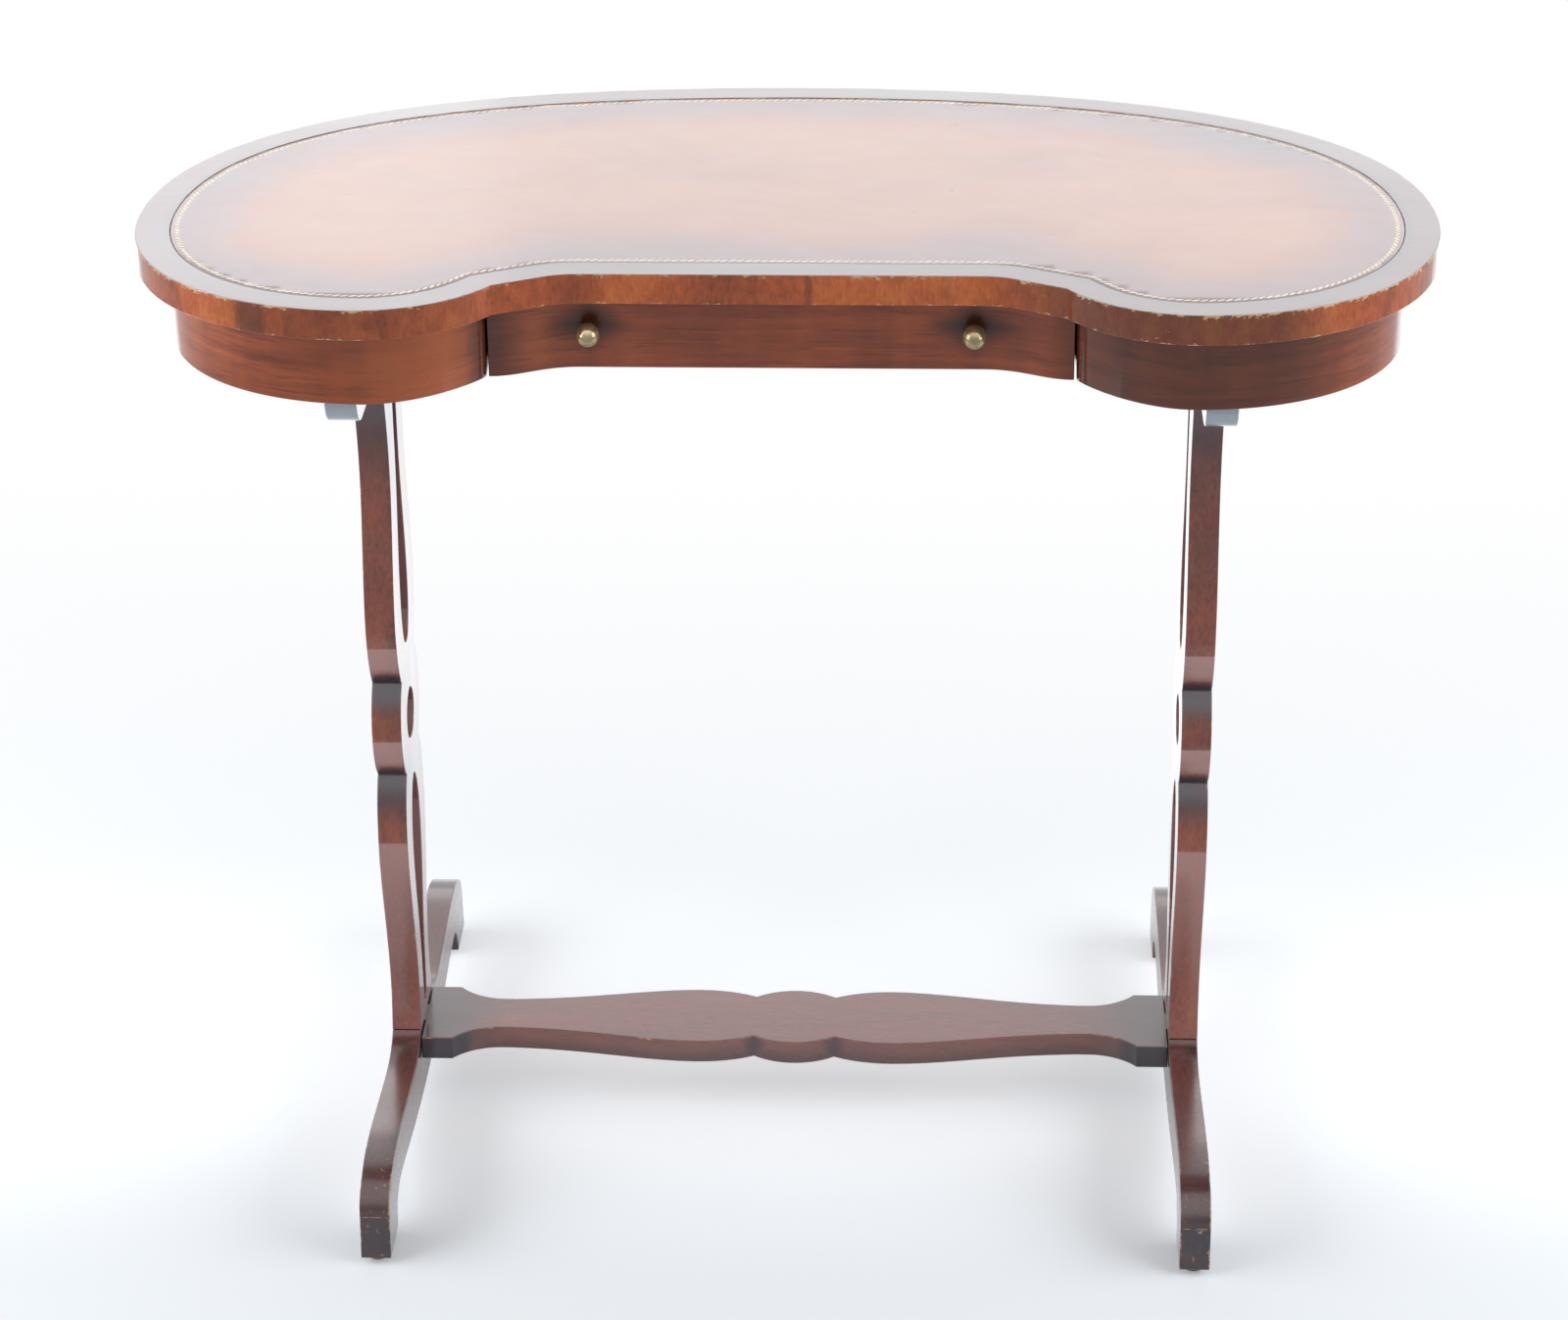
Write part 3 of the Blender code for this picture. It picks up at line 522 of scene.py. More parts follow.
def plain_wood(name, grain, pale, dark):
    """Unfinished inside wood: pale, with growth lines along the board and a matt sawn face."""
    made = new_finish(name)
    lines = cloud(made, grain, 1.0, 4.0, 0.6, 0.8)
    tone = cloud(made, (3, 3, 3), 2.0, 2.0)
    colour = shades(made, lines, (0.34, dark), (0.66, pale))
    colour = colour_mix(made, fade(made, tone, 0.3, 0.8, 0.0, 0.35), colour, brown_with_age)
    matt = uneven_gloss(made, lines, 0.52, 0.68)
    unevenness = relief(made, lines, 0.25, 0.0004)
    return surface(made, {"Base Color": colour, "Roughness": matt, "Normal": unevenness})


def refinish(made, *nodes):
    """Gives CAD nodes that keep their shape a real finish."""
    for node in nodes:
        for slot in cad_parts[node].material_slots:
            slot.material = made


pine_tones = ((0.46, 0.30, 0.16), (0.34, 0.20, 0.10))
pine_along_y = plain_wood("pine_front_to_back", (90, 6, 90), *pine_tones)
beech_upright = plain_wood("beech_dowel", (160, 160, 10), (0.50, 0.34, 0.20), (0.40, 0.26, 0.14))
refinish(pine_along_y, *(f"rail_cleat_{side}" for side in both_sides))
for joint in ("foot_dowel", "head_dowel"):
    refinish(beech_upright, *(f"{joint}_{side}_{end}" for side in both_sides for end in both_ends))


def old_steel():
    made = new_finish("screw_steel_worn")
    tarnish = cloud(made, even, 900.0, 4.0)
    colour = shades(made, tarnish, (0.35, (0.16, 0.14, 0.12)), (0.62, (0.42, 0.40, 0.37)))
    gloss = uneven_gloss(made, tarnish, 0.55, 0.30)
    return surface(made, {"Base Color": colour, "Roughness": gloss, "Metallic": 1.0})


screw_steel = old_steel()
refinish(screw_steel, *(f"cleat_screw_{side}_{end}" for side in both_sides for end in both_ends))


# Stretcher
# A flat shaped board ties the feet. Its ends are tenoned into them, its edges are darker below, with painted
# shade in its notches and over its end blocks, and the round in its middle and the two long swells are sawn
# in the same piece.
stretcher_low, stretcher_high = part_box("stretcher")
stretcher_block = foot_low.x - 0.026
notches_out = 0.0308
stretcher_tones = ((0.130, 0.038, 0.030), (0.195, 0.056, 0.042), (0.260, 0.078, 0.054))
stretcher_grey = (0.34, 0.27, 0.26, 1)


def side_face(made, amount=1.0):
    """Some amount on the stretcher's sawn edges, 0 on its top and underside."""
    return fade(made, distance_of(made, facing(made, "Z")), 0.3, 0.6, amount, 0.0)


def stretcher_shade_and_darkening(made):
    """Painted shade over the end blocks and in the two notches, and darker along the lower half of the
    edges.
    """
    out = distance_of(made, place_of(made, "X"))
    ends = fade(made, out, stretcher_block - 0.050, stretcher_block + 0.012, 0.0, 0.66)
    notches = fade(made, distance_of(made, out, notches_out), 0.002, 0.012, 0.55, 0.0)
    end_edges = fade(made, out, stretcher_block - 0.022, stretcher_block - 0.004, 0.0, 0.90)
    low = fade(made, place_of(made, "Z"), stretcher_low.z + 0.001, stretcher_high.z - 0.004, 0.50, 0.0)
    sawn_edges = times(made, most(made, end_edges, low, notches), side_face(made))
    return most(made, ends, sawn_edges)


def stretcher_edge_greying(made):
    """The sawn edges are made a little grey."""
    return side_face(made, 0.20)


def stretcher_nicks_and_highlight(made):
    """A few bare nicks along the upper arris, which are wear and a painted highlight in one."""
    down = distance_of(made, place_of(made, "Z"), stretcher_high.z)
    ragged = times(made, cloud(made, even, 380.0, 2.0), 0.0030)
    near = fade(made, less(made, down, ragged), -0.0013, -0.0003, 1.0, 0.0)
    somewhere = fade(made, cloud(made, even, 40.0, 3.0, 0.6), 0.52, 0.62)
    off_top = fade(made, facing(made, "Z"), 0.80, 0.97, 1.0, 0.0)
    return times(made, near, somewhere, off_top)


stretcher_finish = dark_mahogany(
    "stretcher_mahogany",
    (9, 60, 60),
    stretcher_shade_and_darkening,
    stretcher_nicks_and_highlight,
    stretcher_tones,
    stretcher_edge_greying,
    stretcher_grey,
)
stretcher = sawn_board("stretcher", "shaped_stretcher", 2, corner=44)
dress(stretcher, stretcher_finish)
in_place_of(stretcher, "desk", "dark_mahogany", "stretcher")


# Glides
# A brown moulded disc with its own nail is tapped into the underside of each toe, so that the
# feet slide and stand clear of a damp floor.
glide_brown = new_finish("glide_brown_moulded")
scuffs = cloud(glide_brown, even, 700.0, 3.0)
glide_colour = shades(glide_brown, scuffs, (0.35, (0.150, 0.100, 0.080)), (0.70, (0.29, 0.205, 0.160)))
glide_gloss = uneven_gloss(glide_brown, scuffs, 0.45, 0.65)
surface(glide_brown, {"Base Color": glide_colour, "Roughness": glide_gloss})
refinish(glide_brown, *(f"glide_{side}_{end}" for side in both_sides for end in both_ends))


# Apron
# Bent mahogany boards follow the kidney under the top, one round each lobe and one across the
# back. The veneer runs level round them, in a warm red brown under a thick clear polish.
apron_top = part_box("apron_left")[1].z
apron_tones = ((0.130, 0.024, 0.007), (0.270, 0.055, 0.013), (0.420, 0.098, 0.022))
veneer_grain = (8, 8, 150)
dark_hairs = (0.030, 0.008, 0.005, 1)
# Colour of the painted light on the left lobe.
painted_light_orange = (0.50, 0.125, 0.030, 1)
# Colour of the painted shade on apron and drawer.
painted_shade_black = (0.014, 0.006, 0.005, 1)


def warm_mahogany(name, tones, stain_and_shade, haze, glow=None):
    """Warm mahogany veneer: level streaks with dark hairs, soft clouds and wide upright bands, with painted
    shade and, where given, painted light.
    """
    made = new_finish(name)
    streaks = cloud(made, veneer_grain, 1.0, 5.0, 0.60, 0.25)
    mottle = cloud(made, (9, 9, 16), 1.0, 3.0, 0.5, 0.8)
    upright = cloud(made, (22, 22, 2), 1.0, 3.0, 0.55, 0.2)
    wood = plus(made, times(made, streaks, 0.40), times(made, mottle, 0.26), times(made, upright, 0.34))
    colour = shades(made, wood, *zip((0.36, 0.52, 0.68), tones))
    hair = fade(made, cloud(made, [s * 4 for s in veneer_grain], 1.0, 2.0), 0.50, 0.72)
    colour = colour_mix(made, times(made, hair, 0.42), colour, dark_hairs)
    if glow:
        colour = colour_mix(made, glow(made), colour, painted_light_orange)
    colour = colour_mix(made, stain_and_shade(made), colour, painted_shade_black)
    unevenness = relief(made, plus(made, streaks, upright), 0.06, 0.0005)
    return lacquered(made, colour, uneven_gloss(made, mottle, 0.24, 0.34), unevenness, haze)


def front_part(made, full, ends):
    """1 over the front of the desk, fading to 0 between two depths."""
    return fade(made, place_of(made, "Y"), full, ends, 1.0, 0.0)


def apron_painted_shade(made):
    """Painted shade: dark under the top, close to the drawer, and over the right lobe."""
    out = place_of(made, "X")
    under_top = fade(made, place_of(made, "Z"), apron_top - 0.012, apron_top, 0.0, 0.55)
    beside_drawer = fade(made, distance_of(made, out), 0.2035, 0.2130, 0.6, 0.0)
    right_lobe = fade(made, distance_of(made, out, 0.288), 0.055, 0.130, 0.64, 0.0)
    in_front = times(made, most(made, beside_drawer, right_lobe), front_part(made, -0.10, 0.0))
    return most(made, under_top, in_front)


def lobe_painted_light(made):
    """Painted light: the left lobe is made lighter towards the drawer and at its outer end, where it faces
    the side lamps.
    """
    out = place_of(made, "X")
    rising = fade(made, out, -0.300, -0.250, 0.0, 0.45)
    falling = fade(made, out, -0.225, -0.205, 1.0, 0.0)
    left_end = fade(made, out, -0.425, -0.375, 0.30, 0.0)
    return times(made, most(made, times(made, rising, falling), left_end), front_part(made, -0.10, 0.0))


apron_finish = warm_mahogany("apron_mahogany", apron_tones, apron_painted_shade, 0.07, lobe_painted_light)
for place in ("left", "right", "back"):
    apron = sawn_board(f"apron_{place}", f"bent_apron_{place}", 2, corner=30, arris=0.0007)
    dress(apron, apron_finish)
    in_place_of(apron, "desk", "mahogany", f"apron_{place}")


# Inside of the case
# Partitions close the case beside the drawer. Runners carry it, stops end its travel, and small
# pine blocks are glued into the corner between apron and top.
pine_along_x = plain_wood("pine_side_to_side", (6, 90, 90), *pine_tones)
refinish(pine_along_y, *(f"drawer_{part}_{side}" for part in ("partition", "runner") for side in both_sides))
refinish(pine_along_x, *(f"drawer_stop_{side}" for side in both_sides))
refinish(pine_along_x, *(f"glue_block_{side}_{number}" for side in both_sides for number in range(1, 7)))


# Drawer
# The front is a mahogany board swept to follow the recess, with its veneer level. Ash sides and
# back carry a thin bottom that slides into grooves.
drawer_low, drawer_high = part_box("drawer_front")


def drawer_painted_shade(made):
    """Painted shade: dark at the two ends, in the shade of the top, and round the knobs as their painted
    shadows.
    """
    out = place_of(made, "X")
    left_end = fade(made, out, drawer_low.x + 0.004, drawer_low.x + 0.034, 0.62, 0.0)
    right_end = fade(made, out, drawer_high.x - 0.020, drawer_high.x, 0.0, 0.35)
    height = place_of(made, "Z")
    under_top = fade(made, height, drawer_high.z - 0.012, drawer_high.z, 0.0, 0.6)
    depth = most(made, left_end, right_end, under_top)
    # Painted shadows of the knobs, soft and wider from side to side.
    for side in both_sides:
        low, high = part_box(f"knob_{side}")
        along = distance_of(made, out, (low.x + high.x) / 2)
        across = distance_of(made, height, (low.z + high.z) / 2 + 0.003)
        away = plus(made, times(made, along, 0.50), times(made, across, 0.75))
        depth = most(made, depth, fade(made, away, 0.005, 0.021, 0.85, 0.0))
    return depth


drawer_front = sawn_board("drawer_front", "swept_drawer_front", 2, corner=30, arris=0.0007)
drawer_tones = ((0.140, 0.028, 0.010), (0.250, 0.053, 0.016), (0.350, 0.082, 0.024))
dress(drawer_front, warm_mahogany("drawer_mahogany", drawer_tones, drawer_painted_shade, 0.22))
in_place_of(drawer_front, "drawer", "mahogany", "drawer_front")

ash_tones = ((0.55, 0.40, 0.24), (0.42, 0.28, 0.15))
ash_along_y = plain_wood("ash_front_to_back", (110, 5, 80), *ash_tones)
ash_along_x = plain_wood("ash_side_to_side", (5, 110, 80), *ash_tones)
refinish(ash_along_y, *(f"drawer_side_{side}" for side in both_sides))
refinish(ash_along_x, "drawer_back", "drawer_bottom")


# Knobs
# Two small solid brass balls, turned in one with their neck and collar and gone brown with age,
# are held by a screw from inside the drawer.
aged_brass = new_finish("aged_brass_ball")
patina = cloud(aged_brass, even, 90.0, 2.0, 0.5)
brass_colour = shades(aged_brass, patina, (0.30, (0.30, 0.235, 0.13)), (0.66, (0.46, 0.375, 0.23)))
brass_gloss = uneven_gloss(aged_brass, patina, 0.24, 0.18)
surface(aged_brass, {"Base Color": brass_colour, "Roughness": brass_gloss, "Metallic": 0.7})
ball_radius = 0.0083
ball_reach = 0.0120
ball_steps = 20
neck_radius = 0.0029
collar_radius = 0.0045
turn_steps = 48
knob_crease = math.radians(50)

# Radius of the knob and its distance from the drawer, from the front of the ball to the seat.
profile = [(0.0, ball_reach + ball_radius)]
lowest = math.asin(neck_radius / ball_radius) - math.pi / 2
for step in range(1, ball_steps + 1):
    turn = math.pi / 2 + (lowest - math.pi / 2) * step / ball_steps
    profile.append((ball_radius * math.cos(turn), ball_reach + ball_radius * math.sin(turn)))
profile += [
    (neck_radius * 0.96, 0.0044),
    (neck_radius * 1.10, 0.0032),
    (collar_radius * 0.78, 0.0026),
    (collar_radius * 0.95, 0.0021),
    (collar_radius, 0.0016),
    (collar_radius, 0.0002),
    (collar_radius * 0.97, 0.0),
    (0.0, 0.0),
]
for side in both_sides:
    low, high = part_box(f"knob_{side}")
    middle = (low + high) / 2
    seat = high.y
    mesh = bpy.data.meshes.new(f"ball_knob_{side}")
    points = [(middle.x + out, seat - reach, middle.z) for out, reach in profile]
    mesh.from_pydata(points, [(n, n + 1) for n in range(len(points) - 1)], [])
    knob = bpy.data.objects.new(f"ball_knob_{side}", mesh)
    bpy.context.scene.collection.objects.link(knob)
    pick(knob)
    bpy.ops.object.mode_set(mode="EDIT")
    bpy.ops.mesh.select_all(action="SELECT")
    bpy.ops.mesh.spin(steps=turn_steps, angle=math.tau, center=(middle.x, seat, middle.z), axis=(0, 1, 0))
    bpy.ops.mesh.select_all(action="SELECT")
    bpy.ops.mesh.remove_doubles(threshold=weld)
    bpy.ops.mesh.normals_make_consistent(inside=False)
    bpy.ops.object.mode_set(mode="OBJECT")
    bpy.ops.object.shade_smooth_by_angle(angle=knob_crease)
    dress(knob, aged_brass)
    in_place_of(knob, "drawer", "antique_brass", f"knob_{side}")
refinish(screw_steel, *(f"knob_screw_{side}" for side in both_sides))


# Top
# A softwood core is lipped and veneered: a rim of dark mahogany round the leather, and a band of
# cross grained orange brown veneer down its edge, chipped along the front arris by use.
refinish(pine_along_x, "top_core")
rim_low, rim_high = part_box("top_rim")
kidney_corner = 24
rim_patch = 0.008
facing_up = 0.80
band_tones = ((0.180, 0.036, 0.009), (0.400, 0.080, 0.015), (0.580, 0.165, 0.032))
rim_tones = ((0.070, 0.024, 0.030), (0.100, 0.034, 0.040), (0.140, 0.048, 0.052))
# Dark spots in the band, and its painted shade.
dark_spots_and_shade = (0.030, 0.010, 0.008, 1)
chipped_wood = (0.55, 0.34, 0.18, 1)
old_glaze = (0.018, 0.020, 0.034, 1)


def chips(made):
    """Bare chips along both arrises of the band and knocks between, most at the right front."""
    down = less(made, rim_high.z, place_of(made, "Z"))
    ragged = fade(made, cloud(made, (1, 1, 1.6), 330.0, 3.0, 0.65), 0.42, 0.70, 0.0004, 0.0034)
    near = fade(made, less(made, down, ragged), -0.0002, 0.0002, 1.0, 0.0)
    out = place_of(made, "X")
    worn_more = fade(made, out, 0.18, 0.30, 0.03, 0.14)
    worn_left = fade(made, out, -0.43, -0.34, 0.12, 0.0)
    somewhere = plus(made, worn_more, worn_left, cloud(made, even, 52.0, 3.0, 0.65))
    somewhere = fade(made, somewhere, 0.56, 0.61)
    from_below = distance_of(made, place_of(made, "Z"), rim_low.z)
    low_edge = fade(made, less(made, from_below, times(made, ragged, 0.6)), -0.0002, 0.0002, 1.0, 0.0)
    low_places = fade(made, cloud(made, even, 61.0, 3.0, 0.65), 0.54, 0.60)
    knocks = fade(made, cloud(made, (1, 1, 2.0), 150.0, 3.0, 0.7, 1.0), 0.70, 0.72)
    knocks = times(made, knocks, fade(made, out, 0.10, 0.30, 0.15, 1.0))
    return most(made, times(made, near, somewhere), times(made, low_edge, low_places), knocks)


def band_veneer():
    """Cross grained veneer: upright streaks and blocks of lighter and darker figure, dark spots, and painted
    shade over the right lobe and to the left.
    """
    made = new_finish("band_veneer")
    streaks = cloud(made, (520, 520, 130), 1.0, 4.0, 0.70, 0.3)
    blocks = cloud(made, (90, 90, 60), 1.0, 4.0, 0.60, 0.8)
    slow = cloud(made, (13, 13, 3), 1.0, 2.0)
    out = place_of(made, "X")
    wood = plus(made, times(made, streaks, 0.28), times(made, blocks, 0.26), times(made, slow, 0.46))
    colour = shades(made, wood, *zip((0.36, 0.50, 0.64), band_tones))
    # Painted shade over the right lobe and towards the left, with one small dark patch.
    right_lobe = fade(made, distance_of(made, out, 0.265), 0.060, 0.130, 0.68, 0.0)
    left_patch = fade(made, distance_of(made, out, -0.347), 0.006, 0.016, 0.70, 0.0)
    shade_and_patch = times(made, most(made, right_lobe, left_patch), front_part(made, -0.12, -0.04))
    left_shade = fade(made, distance_of(made, out, -0.290), 0.040, 0.110, 0.32, 0.0)
    dark_spots = fade(made, cloud(made, (46, 46, 6), 1.0, 2.0, 0.5, 0.4), 0.62, 0.74, 0.0, 0.5)
    colour = colour_mix(made, most(made, shade_and_patch, left_shade, dark_spots), colour, dark_spots_and_shade)
    colour = colour_mix(made, chips(made), colour, chipped_wood)
    gloss = uneven_gloss(made, blocks, 0.26, 0.36)
    return lacquered(made, colour, gloss, relief(made, streaks, 0.05, 0.0004), haze=0.09)


def rim_veneer():
    """The flat of the rim: dark mahogany, its grain along the desk, glazed dark beside the leather."""
    made = new_finish("rim_flat_veneer")
    streaks = cloud(made, (7, 120, 120), 1.0, 4.0, 0.6, 0.2)
    slow = cloud(made, (5, 9, 9), 1.0, 2.0)
    wood = plus(made, times(made, streaks, 0.5), times(made, slow, 0.5))
    colour = shades(made, wood, *zip((0.34, 0.52, 0.70), rim_tones))
    outward = add(made, "Attribute", attribute_name="from_leather").outputs["Fac"]
    glaze = fade(made, outward, 0.001, 0.0085, 0.85, 0.0)
    colour = colour_mix(made, glaze, colour, old_glaze)
    gloss = uneven_gloss(made, slow, 0.22, 0.32)
    return lacquered(made, colour, gloss, relief(made, streaks, 0.03, 0.0004), haze=0.10)


def cut_in_patches(piece, patch):
    """Cuts a lying board into small squares, so that a value can change softly across it."""
    spans = []
    for axis in (0, 1):
        places = [vert.co[axis] for vert in piece.data.vertices]
        spans.append((min(places), max(places)))
    pick(piece)
    bpy.ops.object.mode_set(mode="EDIT")
    for (low, high), across in zip(spans, ((1, 0, 0), (0, 1, 0))):
        cut = low + patch
        while cut < high:
            bpy.ops.mesh.select_all(action="SELECT")
            bpy.ops.mesh.bisect(plane_co=Vector(across) * cut, plane_no=across)
            cut += patch
    bpy.ops.mesh.customdata_custom_splitnormals_clear()
    bpy.ops.object.mode_set(mode="OBJECT")


hide_edge = faired(edges_of_sawn_face("leather_writing_surface", 2)[0], kidney_corner)


def to_hide_edge(point):
    nearest = math.inf
    for place, start in enumerate(hide_edge):
        last = hide_edge[place - 1]
        along = start - last
        share = min(1.0, max(0.0, (point - last).dot(along) / along.length_squared))
        nearest = min(nearest, (point - last - along * share).length)
    return nearest


def note_distances(piece, name):
    """Notes on each point of a piece how far it is from the edge of the hide."""
    noted = piece.data.attributes.new(name, "FLOAT", "POINT")
    for vert, value in zip(piece.data.vertices, noted.data):
        value.value = to_hide_edge(vert.co.xy)


rim = sawn_board("top_rim", "veneered_rim", 2, corner=kidney_corner, arris=0.0006)
cut_in_patches(rim, rim_patch)
shade_flats_flat(rim)
note_distances(rim, "from_leather")
dress(rim, band_veneer(), rim_veneer())
for face in rim.data.polygons:
    face.material_index = 1 if face.normal.z > facing_up else 0
in_place_of(rim, "desk", "rim_veneer", "top_rim")


# Leather
# One hide, skived thin, is glued down inside the rim. It is antiqued: rubbed pale over the
# middle, dark and cloudy towards its edge, with a fine grain and a waxed, slightly worn face.
hide_patch = 0.012
hide_crease = math.radians(20)
dark_marks = (0.10, 0.060, 0.055, 1)
hide = sawn_board("leather_writing_surface", "leather_hide", 2, corner=kidney_corner, arris=0.0005)
cut_in_patches(hide, hide_patch)
bpy.ops.object.shade_smooth_by_angle(angle=hide_crease)
note_distances(hide, "from_edge")

# Where the antiquing is rubbed brighter or left darker: place, half width, half depth, change.
smudges = (
    (0.148, -0.083, 0.075, 0.055, -0.14),
    (0.190, 0.060, 0.070, 0.050, -0.08),
    (0.320, 0.105, 0.100, 0.065, -0.12),
    (0.300, -0.060, 0.110, 0.060, 0.07),
    (-0.125, -0.100, 0.120, 0.045, -0.08),
    (-0.045, 0.050, 0.075, 0.050, -0.07),
    (-0.310, -0.100, 0.110, 0.060, 0.08),
    (-0.120, 0.000, 0.120, 0.050, 0.04),
)


def antiqued_leather():
    """Tan where it is rubbed and plum brown near its edge, with smudges, marks and a pebbled grain."""
    made = new_finish("antiqued_leather")
    inward = add(made, "Attribute", attribute_name="from_edge").outputs["Fac"]
    clouds = cloud(made, (8, 11, 1), 1.0, 4.0, 0.6, 0.7)
    wisps = cloud(made, (24, 60, 1), 1.0, 5.0, 0.65, 0.5)
    rubbed = fade(made, inward, 0.002, 0.085)
    tone = plus(made, times(made, rubbed, 0.40), times(made, clouds, 0.42), times(made, wisps, 0.20))
    for out, back, half_width, half_depth, change in smudges:
        across = worked_out(made, "DIVIDE", (distance_of(made, place_of(made, "X"), out), half_width))
        along = worked_out(made, "DIVIDE", (distance_of(made, place_of(made, "Y"), back), half_depth))
        away = plus(made, times(made, across, across), times(made, along, along))
        tone = plus(made, tone, fade(made, away, 0.0, 1.0, change, 0.0))
    colour = shades(
        made,
        tone,
        (0.22, (0.215, 0.150, 0.180)),
        (0.48, (0.350, 0.190, 0.175)),
        (0.62, (0.455, 0.200, 0.145)),
        (0.82, (0.570, 0.260, 0.175)),
    )
    pebble = add(made, "TexVoronoi", {"Vector": add(made, "TexCoord").outputs["Object"], "Scale": 900.0})
    crease = cloud(made, even, 240.0, 4.0, 0.6)
    height = plus(made, pebble.outputs["Distance"], times(made, crease, 0.8))
    marks = fade(made, cloud(made, (14, 60, 1), 1.0, 3.0, 0.6, 1.5), 0.70, 0.74, 0.0, 0.28)
    colour = colour_mix(made, marks, colour, dark_marks)
    gloss = uneven_gloss(made, wisps, 0.40, 0.52)
    return lacquered(made, colour, gloss, relief(made, height, 0.12, 0.0002), haze=0.16)


dress(hide, antiqued_leather())
in_place_of(hide, "desk", "leather", "leather_writing_surface")


# Gilt line
# A narrow rope of gold leaf is rolled into the leather with a hot tool, close inside its edge:
# one slanted leaf after another, each pressed to overlap the last.
line_inset = 0.0047
leaf_pitch = 0.0055
leaf_length = 0.0066
leaf_width = 0.0025
leaf_slant = math.radians(24)
leaf_height = 0.00012
leaf_sunk = 0.00002
pressed_share = (0.7, 0.45)
leaf_crease = math.radians(40)
leather_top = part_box("leather_writing_surface")[1].z
line_path = []
for place, point in enumerate(hide_edge):
    along = (hide_edge[(place + 1) % len(hide_edge)] - hide_edge[place - 1]).normalized()
    line_path.append(point + Vector((-along.y, along.x)) * line_inset)

bpy.ops.object.select_all(action="DESELECT")
bpy.ops.mesh.primitive_circle_add(vertices=8, radius=0.5, fill_type="NGON", location=(0, 0, 0))
leaf = bpy.context.object
bpy.ops.object.mode_set(mode="EDIT")
bpy.ops.mesh.select_all(action="SELECT")
bpy.ops.transform.resize(value=(leaf_length, leaf_width, 1))
bpy.ops.mesh.extrude_region_move(TRANSFORM_OT_translate={"value": (0, 0, leaf_height)})
bpy.ops.transform.resize(value=(*pressed_share, 1))
bpy.ops.object.mode_set(mode="OBJECT")
leaf_points = [vert.co.copy() for vert in leaf.data.vertices]
leaf_faces = [tuple(face.vertices) for face in leaf.data.polygons]
bpy.data.objects.remove(leaf, do_unlink=True)

points, faces = [], []
walked, next_leaf = 0.0, 0.0
for place, start in enumerate(line_path):
    run = line_path[(place + 1) % len(line_path)] - start
    heading = math.atan2(run.y, run.x) + leaf_slant
    while next_leaf < walked + run.length:
        centre = start + run * ((next_leaf - walked) / run.length)
        turned = Matrix.Translation((*centre, leather_top - leaf_sunk)) @ Matrix.Rotation(heading, 4, "Z")
        faces += [tuple(index + len(points) for index in face) for face in leaf_faces]
        points += [turned @ point for point in leaf_points]
        next_leaf += leaf_pitch
    walked += run.length
mesh = bpy.data.meshes.new("gilt_rope_line")
mesh.from_pydata(points, [], faces)
gilt_line = bpy.data.objects.new("gilt_rope_line", mesh)
bpy.context.scene.collection.objects.link(gilt_line)
pick(gilt_line)
bpy.ops.object.mode_set(mode="EDIT")
bpy.ops.mesh.select_all(action="SELECT")
bpy.ops.mesh.normals_make_consistent(inside=False)
bpy.ops.object.mode_set(mode="OBJECT")
bpy.ops.object.shade_smooth_by_angle(angle=leaf_crease)
gold_leaf = new_finish("rubbed_gold_leaf")
rubbed_gold = cloud(gold_leaf, even, 160.0, 3.0)
gold_colour = shades(gold_leaf, rubbed_gold, (0.30, (0.84, 0.70, 0.48)), (0.55, (1.0, 0.90, 0.70)))
gold_gloss = uneven_gloss(gold_leaf, rubbed_gold, 0.5, 0.35)
surface(gold_leaf, {"Base Color": gold_colour, "Roughness": gold_gloss, "Metallic": 0.15})
dress(gilt_line, gold_leaf)
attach(gilt_line, "desk")


# Studio
# Pale paper on the floor, an upright soft panel to each side, a wide one behind with a small one
# beside it, and a white room all round.
bpy.ops.object.select_all(action="DESELECT")
bpy.ops.mesh.primitive_plane_add(size=16, location=(0, 0, 0))
floor = bpy.context.object
floor.name = "paper_floor"
paper = new_finish("pale_paper")
fibre = cloud(paper, even, 1.3, 2.0)
paper_colour = shades(paper, fibre, (0.3, (0.83, 0.865, 0.905)), (0.7, (0.85, 0.88, 0.915)))
surface(paper, {"Base Color": paper_colour, "Roughness": 0.9, "Specular IOR Level": 0.1})
rays = add(paper, "LightPath").outputs
backwards = place_of(paper, "Y")
sideways = distance_of(paper, place_of(paper, "X"))


def shader_mix(made, share, under, over):
    return add(made, "MixShader", {0: share, 1: under, 2: over}).outputs[0]


def glowing_paper(colour, glow_colour, strength):
    """Paper that takes the lamps' light and shade, with some light of its own."""
    lit_paper = add(paper, "BsdfDiffuse", {"Color": colour}).outputs[0]
    glow = add(paper, "Emission", {"Color": glow_colour, "Strength": strength}).outputs[0]
    return add(paper, "AddShader", {0: lit_paper, 1: glow}).outputs[0]


# What the camera sees: paper near the desk, which turns to white far off on every side.
glow_behind = fade(paper, backwards, -0.30, 0.06, 0.055, 0.375)
glow_less = fade(paper, backwards, 0.12, 0.42, 0.0, 0.16)
seen_glow = less(paper, glow_behind, glow_less)
seen_near = glowing_paper((0.88, 0.925, 0.97, 1), (0.97, 0.985, 1.0, 1), seen_glow)
white = add(paper, "Emission", {"Color": (1.0, 1.0, 1.0, 1), "Strength": 1.0}).outputs[0]
far_behind = fade(paper, backwards, 0.0, 1.3)
far_in_front = fade(paper, backwards, -1.7, -0.8, 1.0, 0.0)
far_aside = fade(paper, sideways, 1.2, 2.2)
seen_paper = shader_mix(paper, most(paper, far_in_front, far_aside, far_behind), seen_near, white)

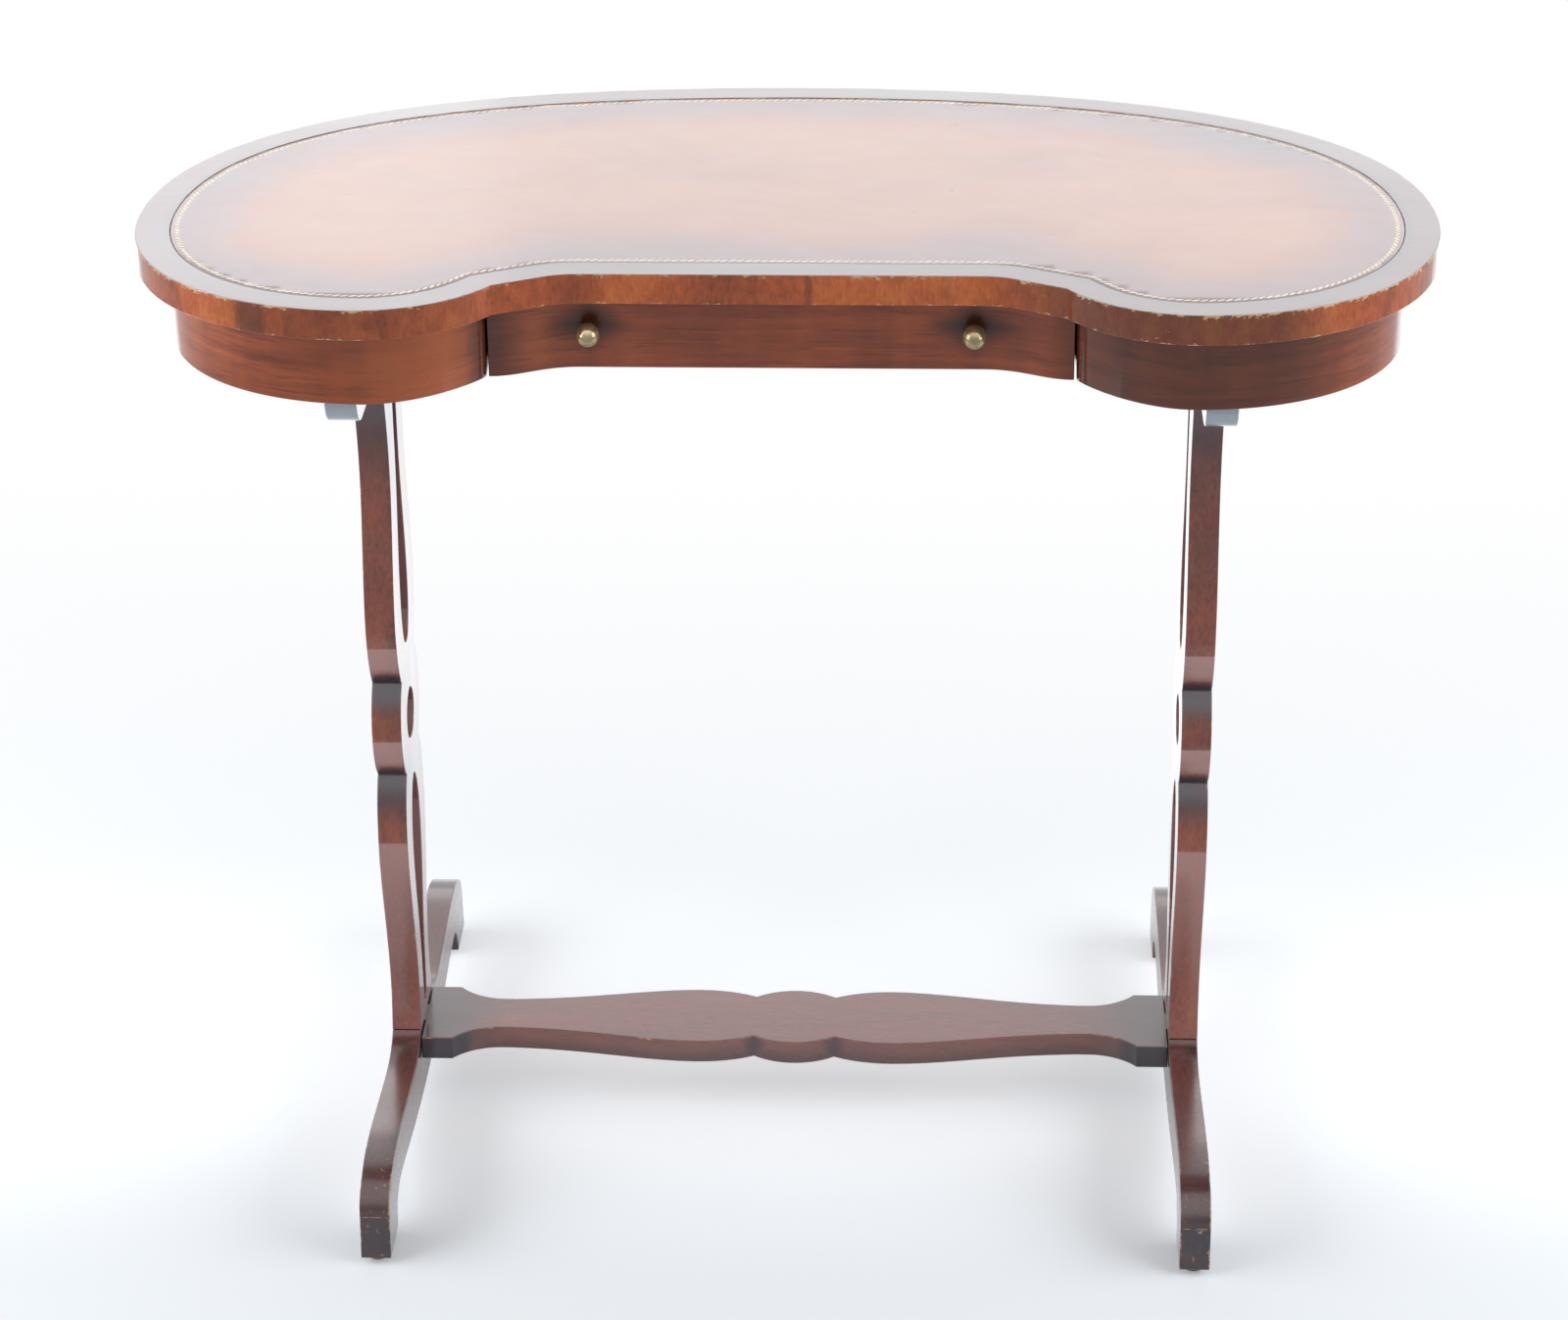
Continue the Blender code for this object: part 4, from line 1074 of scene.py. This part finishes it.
# What the polish mirrors: the same paper, and a grey room where it ends in front and at the sides.
mirrored_glow = fade(paper, backwards, 0.1, 0.9, 0.15, 0.85)
mirrored_near = glowing_paper((0.93, 0.96, 1.0, 1), (0.96, 0.98, 1.0, 1), mirrored_glow)
grey_room = add(paper, "Emission", {"Color": (0.60, 0.60, 0.62, 1), "Strength": 1.0}).outputs[0]
off_in_front = fade(paper, backwards, -0.66, -0.58, 1.0, 0.0)
off_aside = fade(paper, sideways, 1.2, 1.5)
mirrored_paper = shader_mix(paper, most(paper, off_in_front, off_aside), mirrored_near, grey_room)

plain_paper = paper.node_tree.nodes["Principled BSDF"].outputs[0]
not_seen = shader_mix(paper, rays["Is Glossy Ray"], plain_paper, mirrored_paper)
whole_floor = shader_mix(paper, rays["Is Camera Ray"], not_seen, seen_paper)
feed(paper, paper.node_tree.nodes["Material Output"], {"Surface": whole_floor})
dress(floor, paper)


def soft_panel(name, place, aim, width, height, power):
    """A soft lamp that stands at a place and faces another, in metres and watts."""
    light = bpy.data.lights.new(name, "AREA")
    light.shape = "RECTANGLE"
    light.size = width
    light.size_y = height
    light.energy = power
    panel = bpy.data.objects.new(name, light)
    bpy.context.scene.collection.objects.link(panel)
    panel.location = place
    panel.rotation_euler = (Vector(aim) - Vector(place)).to_track_quat("-Z", "Y").to_euler()
    panel.visible_camera = False


for name, side in (("left_panel", -1), ("right_panel", 1)):
    soft_panel(name, (side * 1.85, -0.55, 1.05), (0, 0, 0.4), 2.0, 1.3, 27)
soft_panel("back_panel", (0, 6.0, 2.85), (0, 0, 2.85), 5.0, 1.2, 29.5)
soft_panel("back_left_panel", (-2.3, 6.1, 2.85), (-2.3, 0, 2.85), 2.8, 1.3, 4)

world = bpy.data.worlds.new("white_room")
bpy.context.scene.world = world
world.use_nodes = True
world.node_tree.nodes.clear()
direction = add(world, "TexCoord").outputs["Generated"]
towards = add(world, "SeparateXYZ", {0: direction}).outputs
to_back = fade(world, towards["Y"], 0.45, 0.85, 0.75, 1.1)
to_ceiling = fade(world, towards["Z"], 0.15, 0.75, 0.75, 2.1)
wall_strength = most(world, to_back, to_ceiling)
walls = add(world, "Background", {"Color": (0.96, 0.98, 1.0, 1), "Strength": wall_strength}).outputs[0]
room_light = add(world, "Background", {"Color": (0.97, 0.985, 1.0, 1), "Strength": 0.42}).outputs[0]
white_room = add(world, "Background", {"Color": (1, 1, 1, 1), "Strength": 1.0}).outputs[0]
room_rays = add(world, "LightPath").outputs
lit_room = shader_mix(world, room_rays["Is Glossy Ray"], room_light, walls)
whole_room = shader_mix(world, room_rays["Is Camera Ray"], lit_room, white_room)
add(world, "OutputWorld", {"Surface": whole_room})

bpy.context.scene.view_settings.view_transform = "Standard"
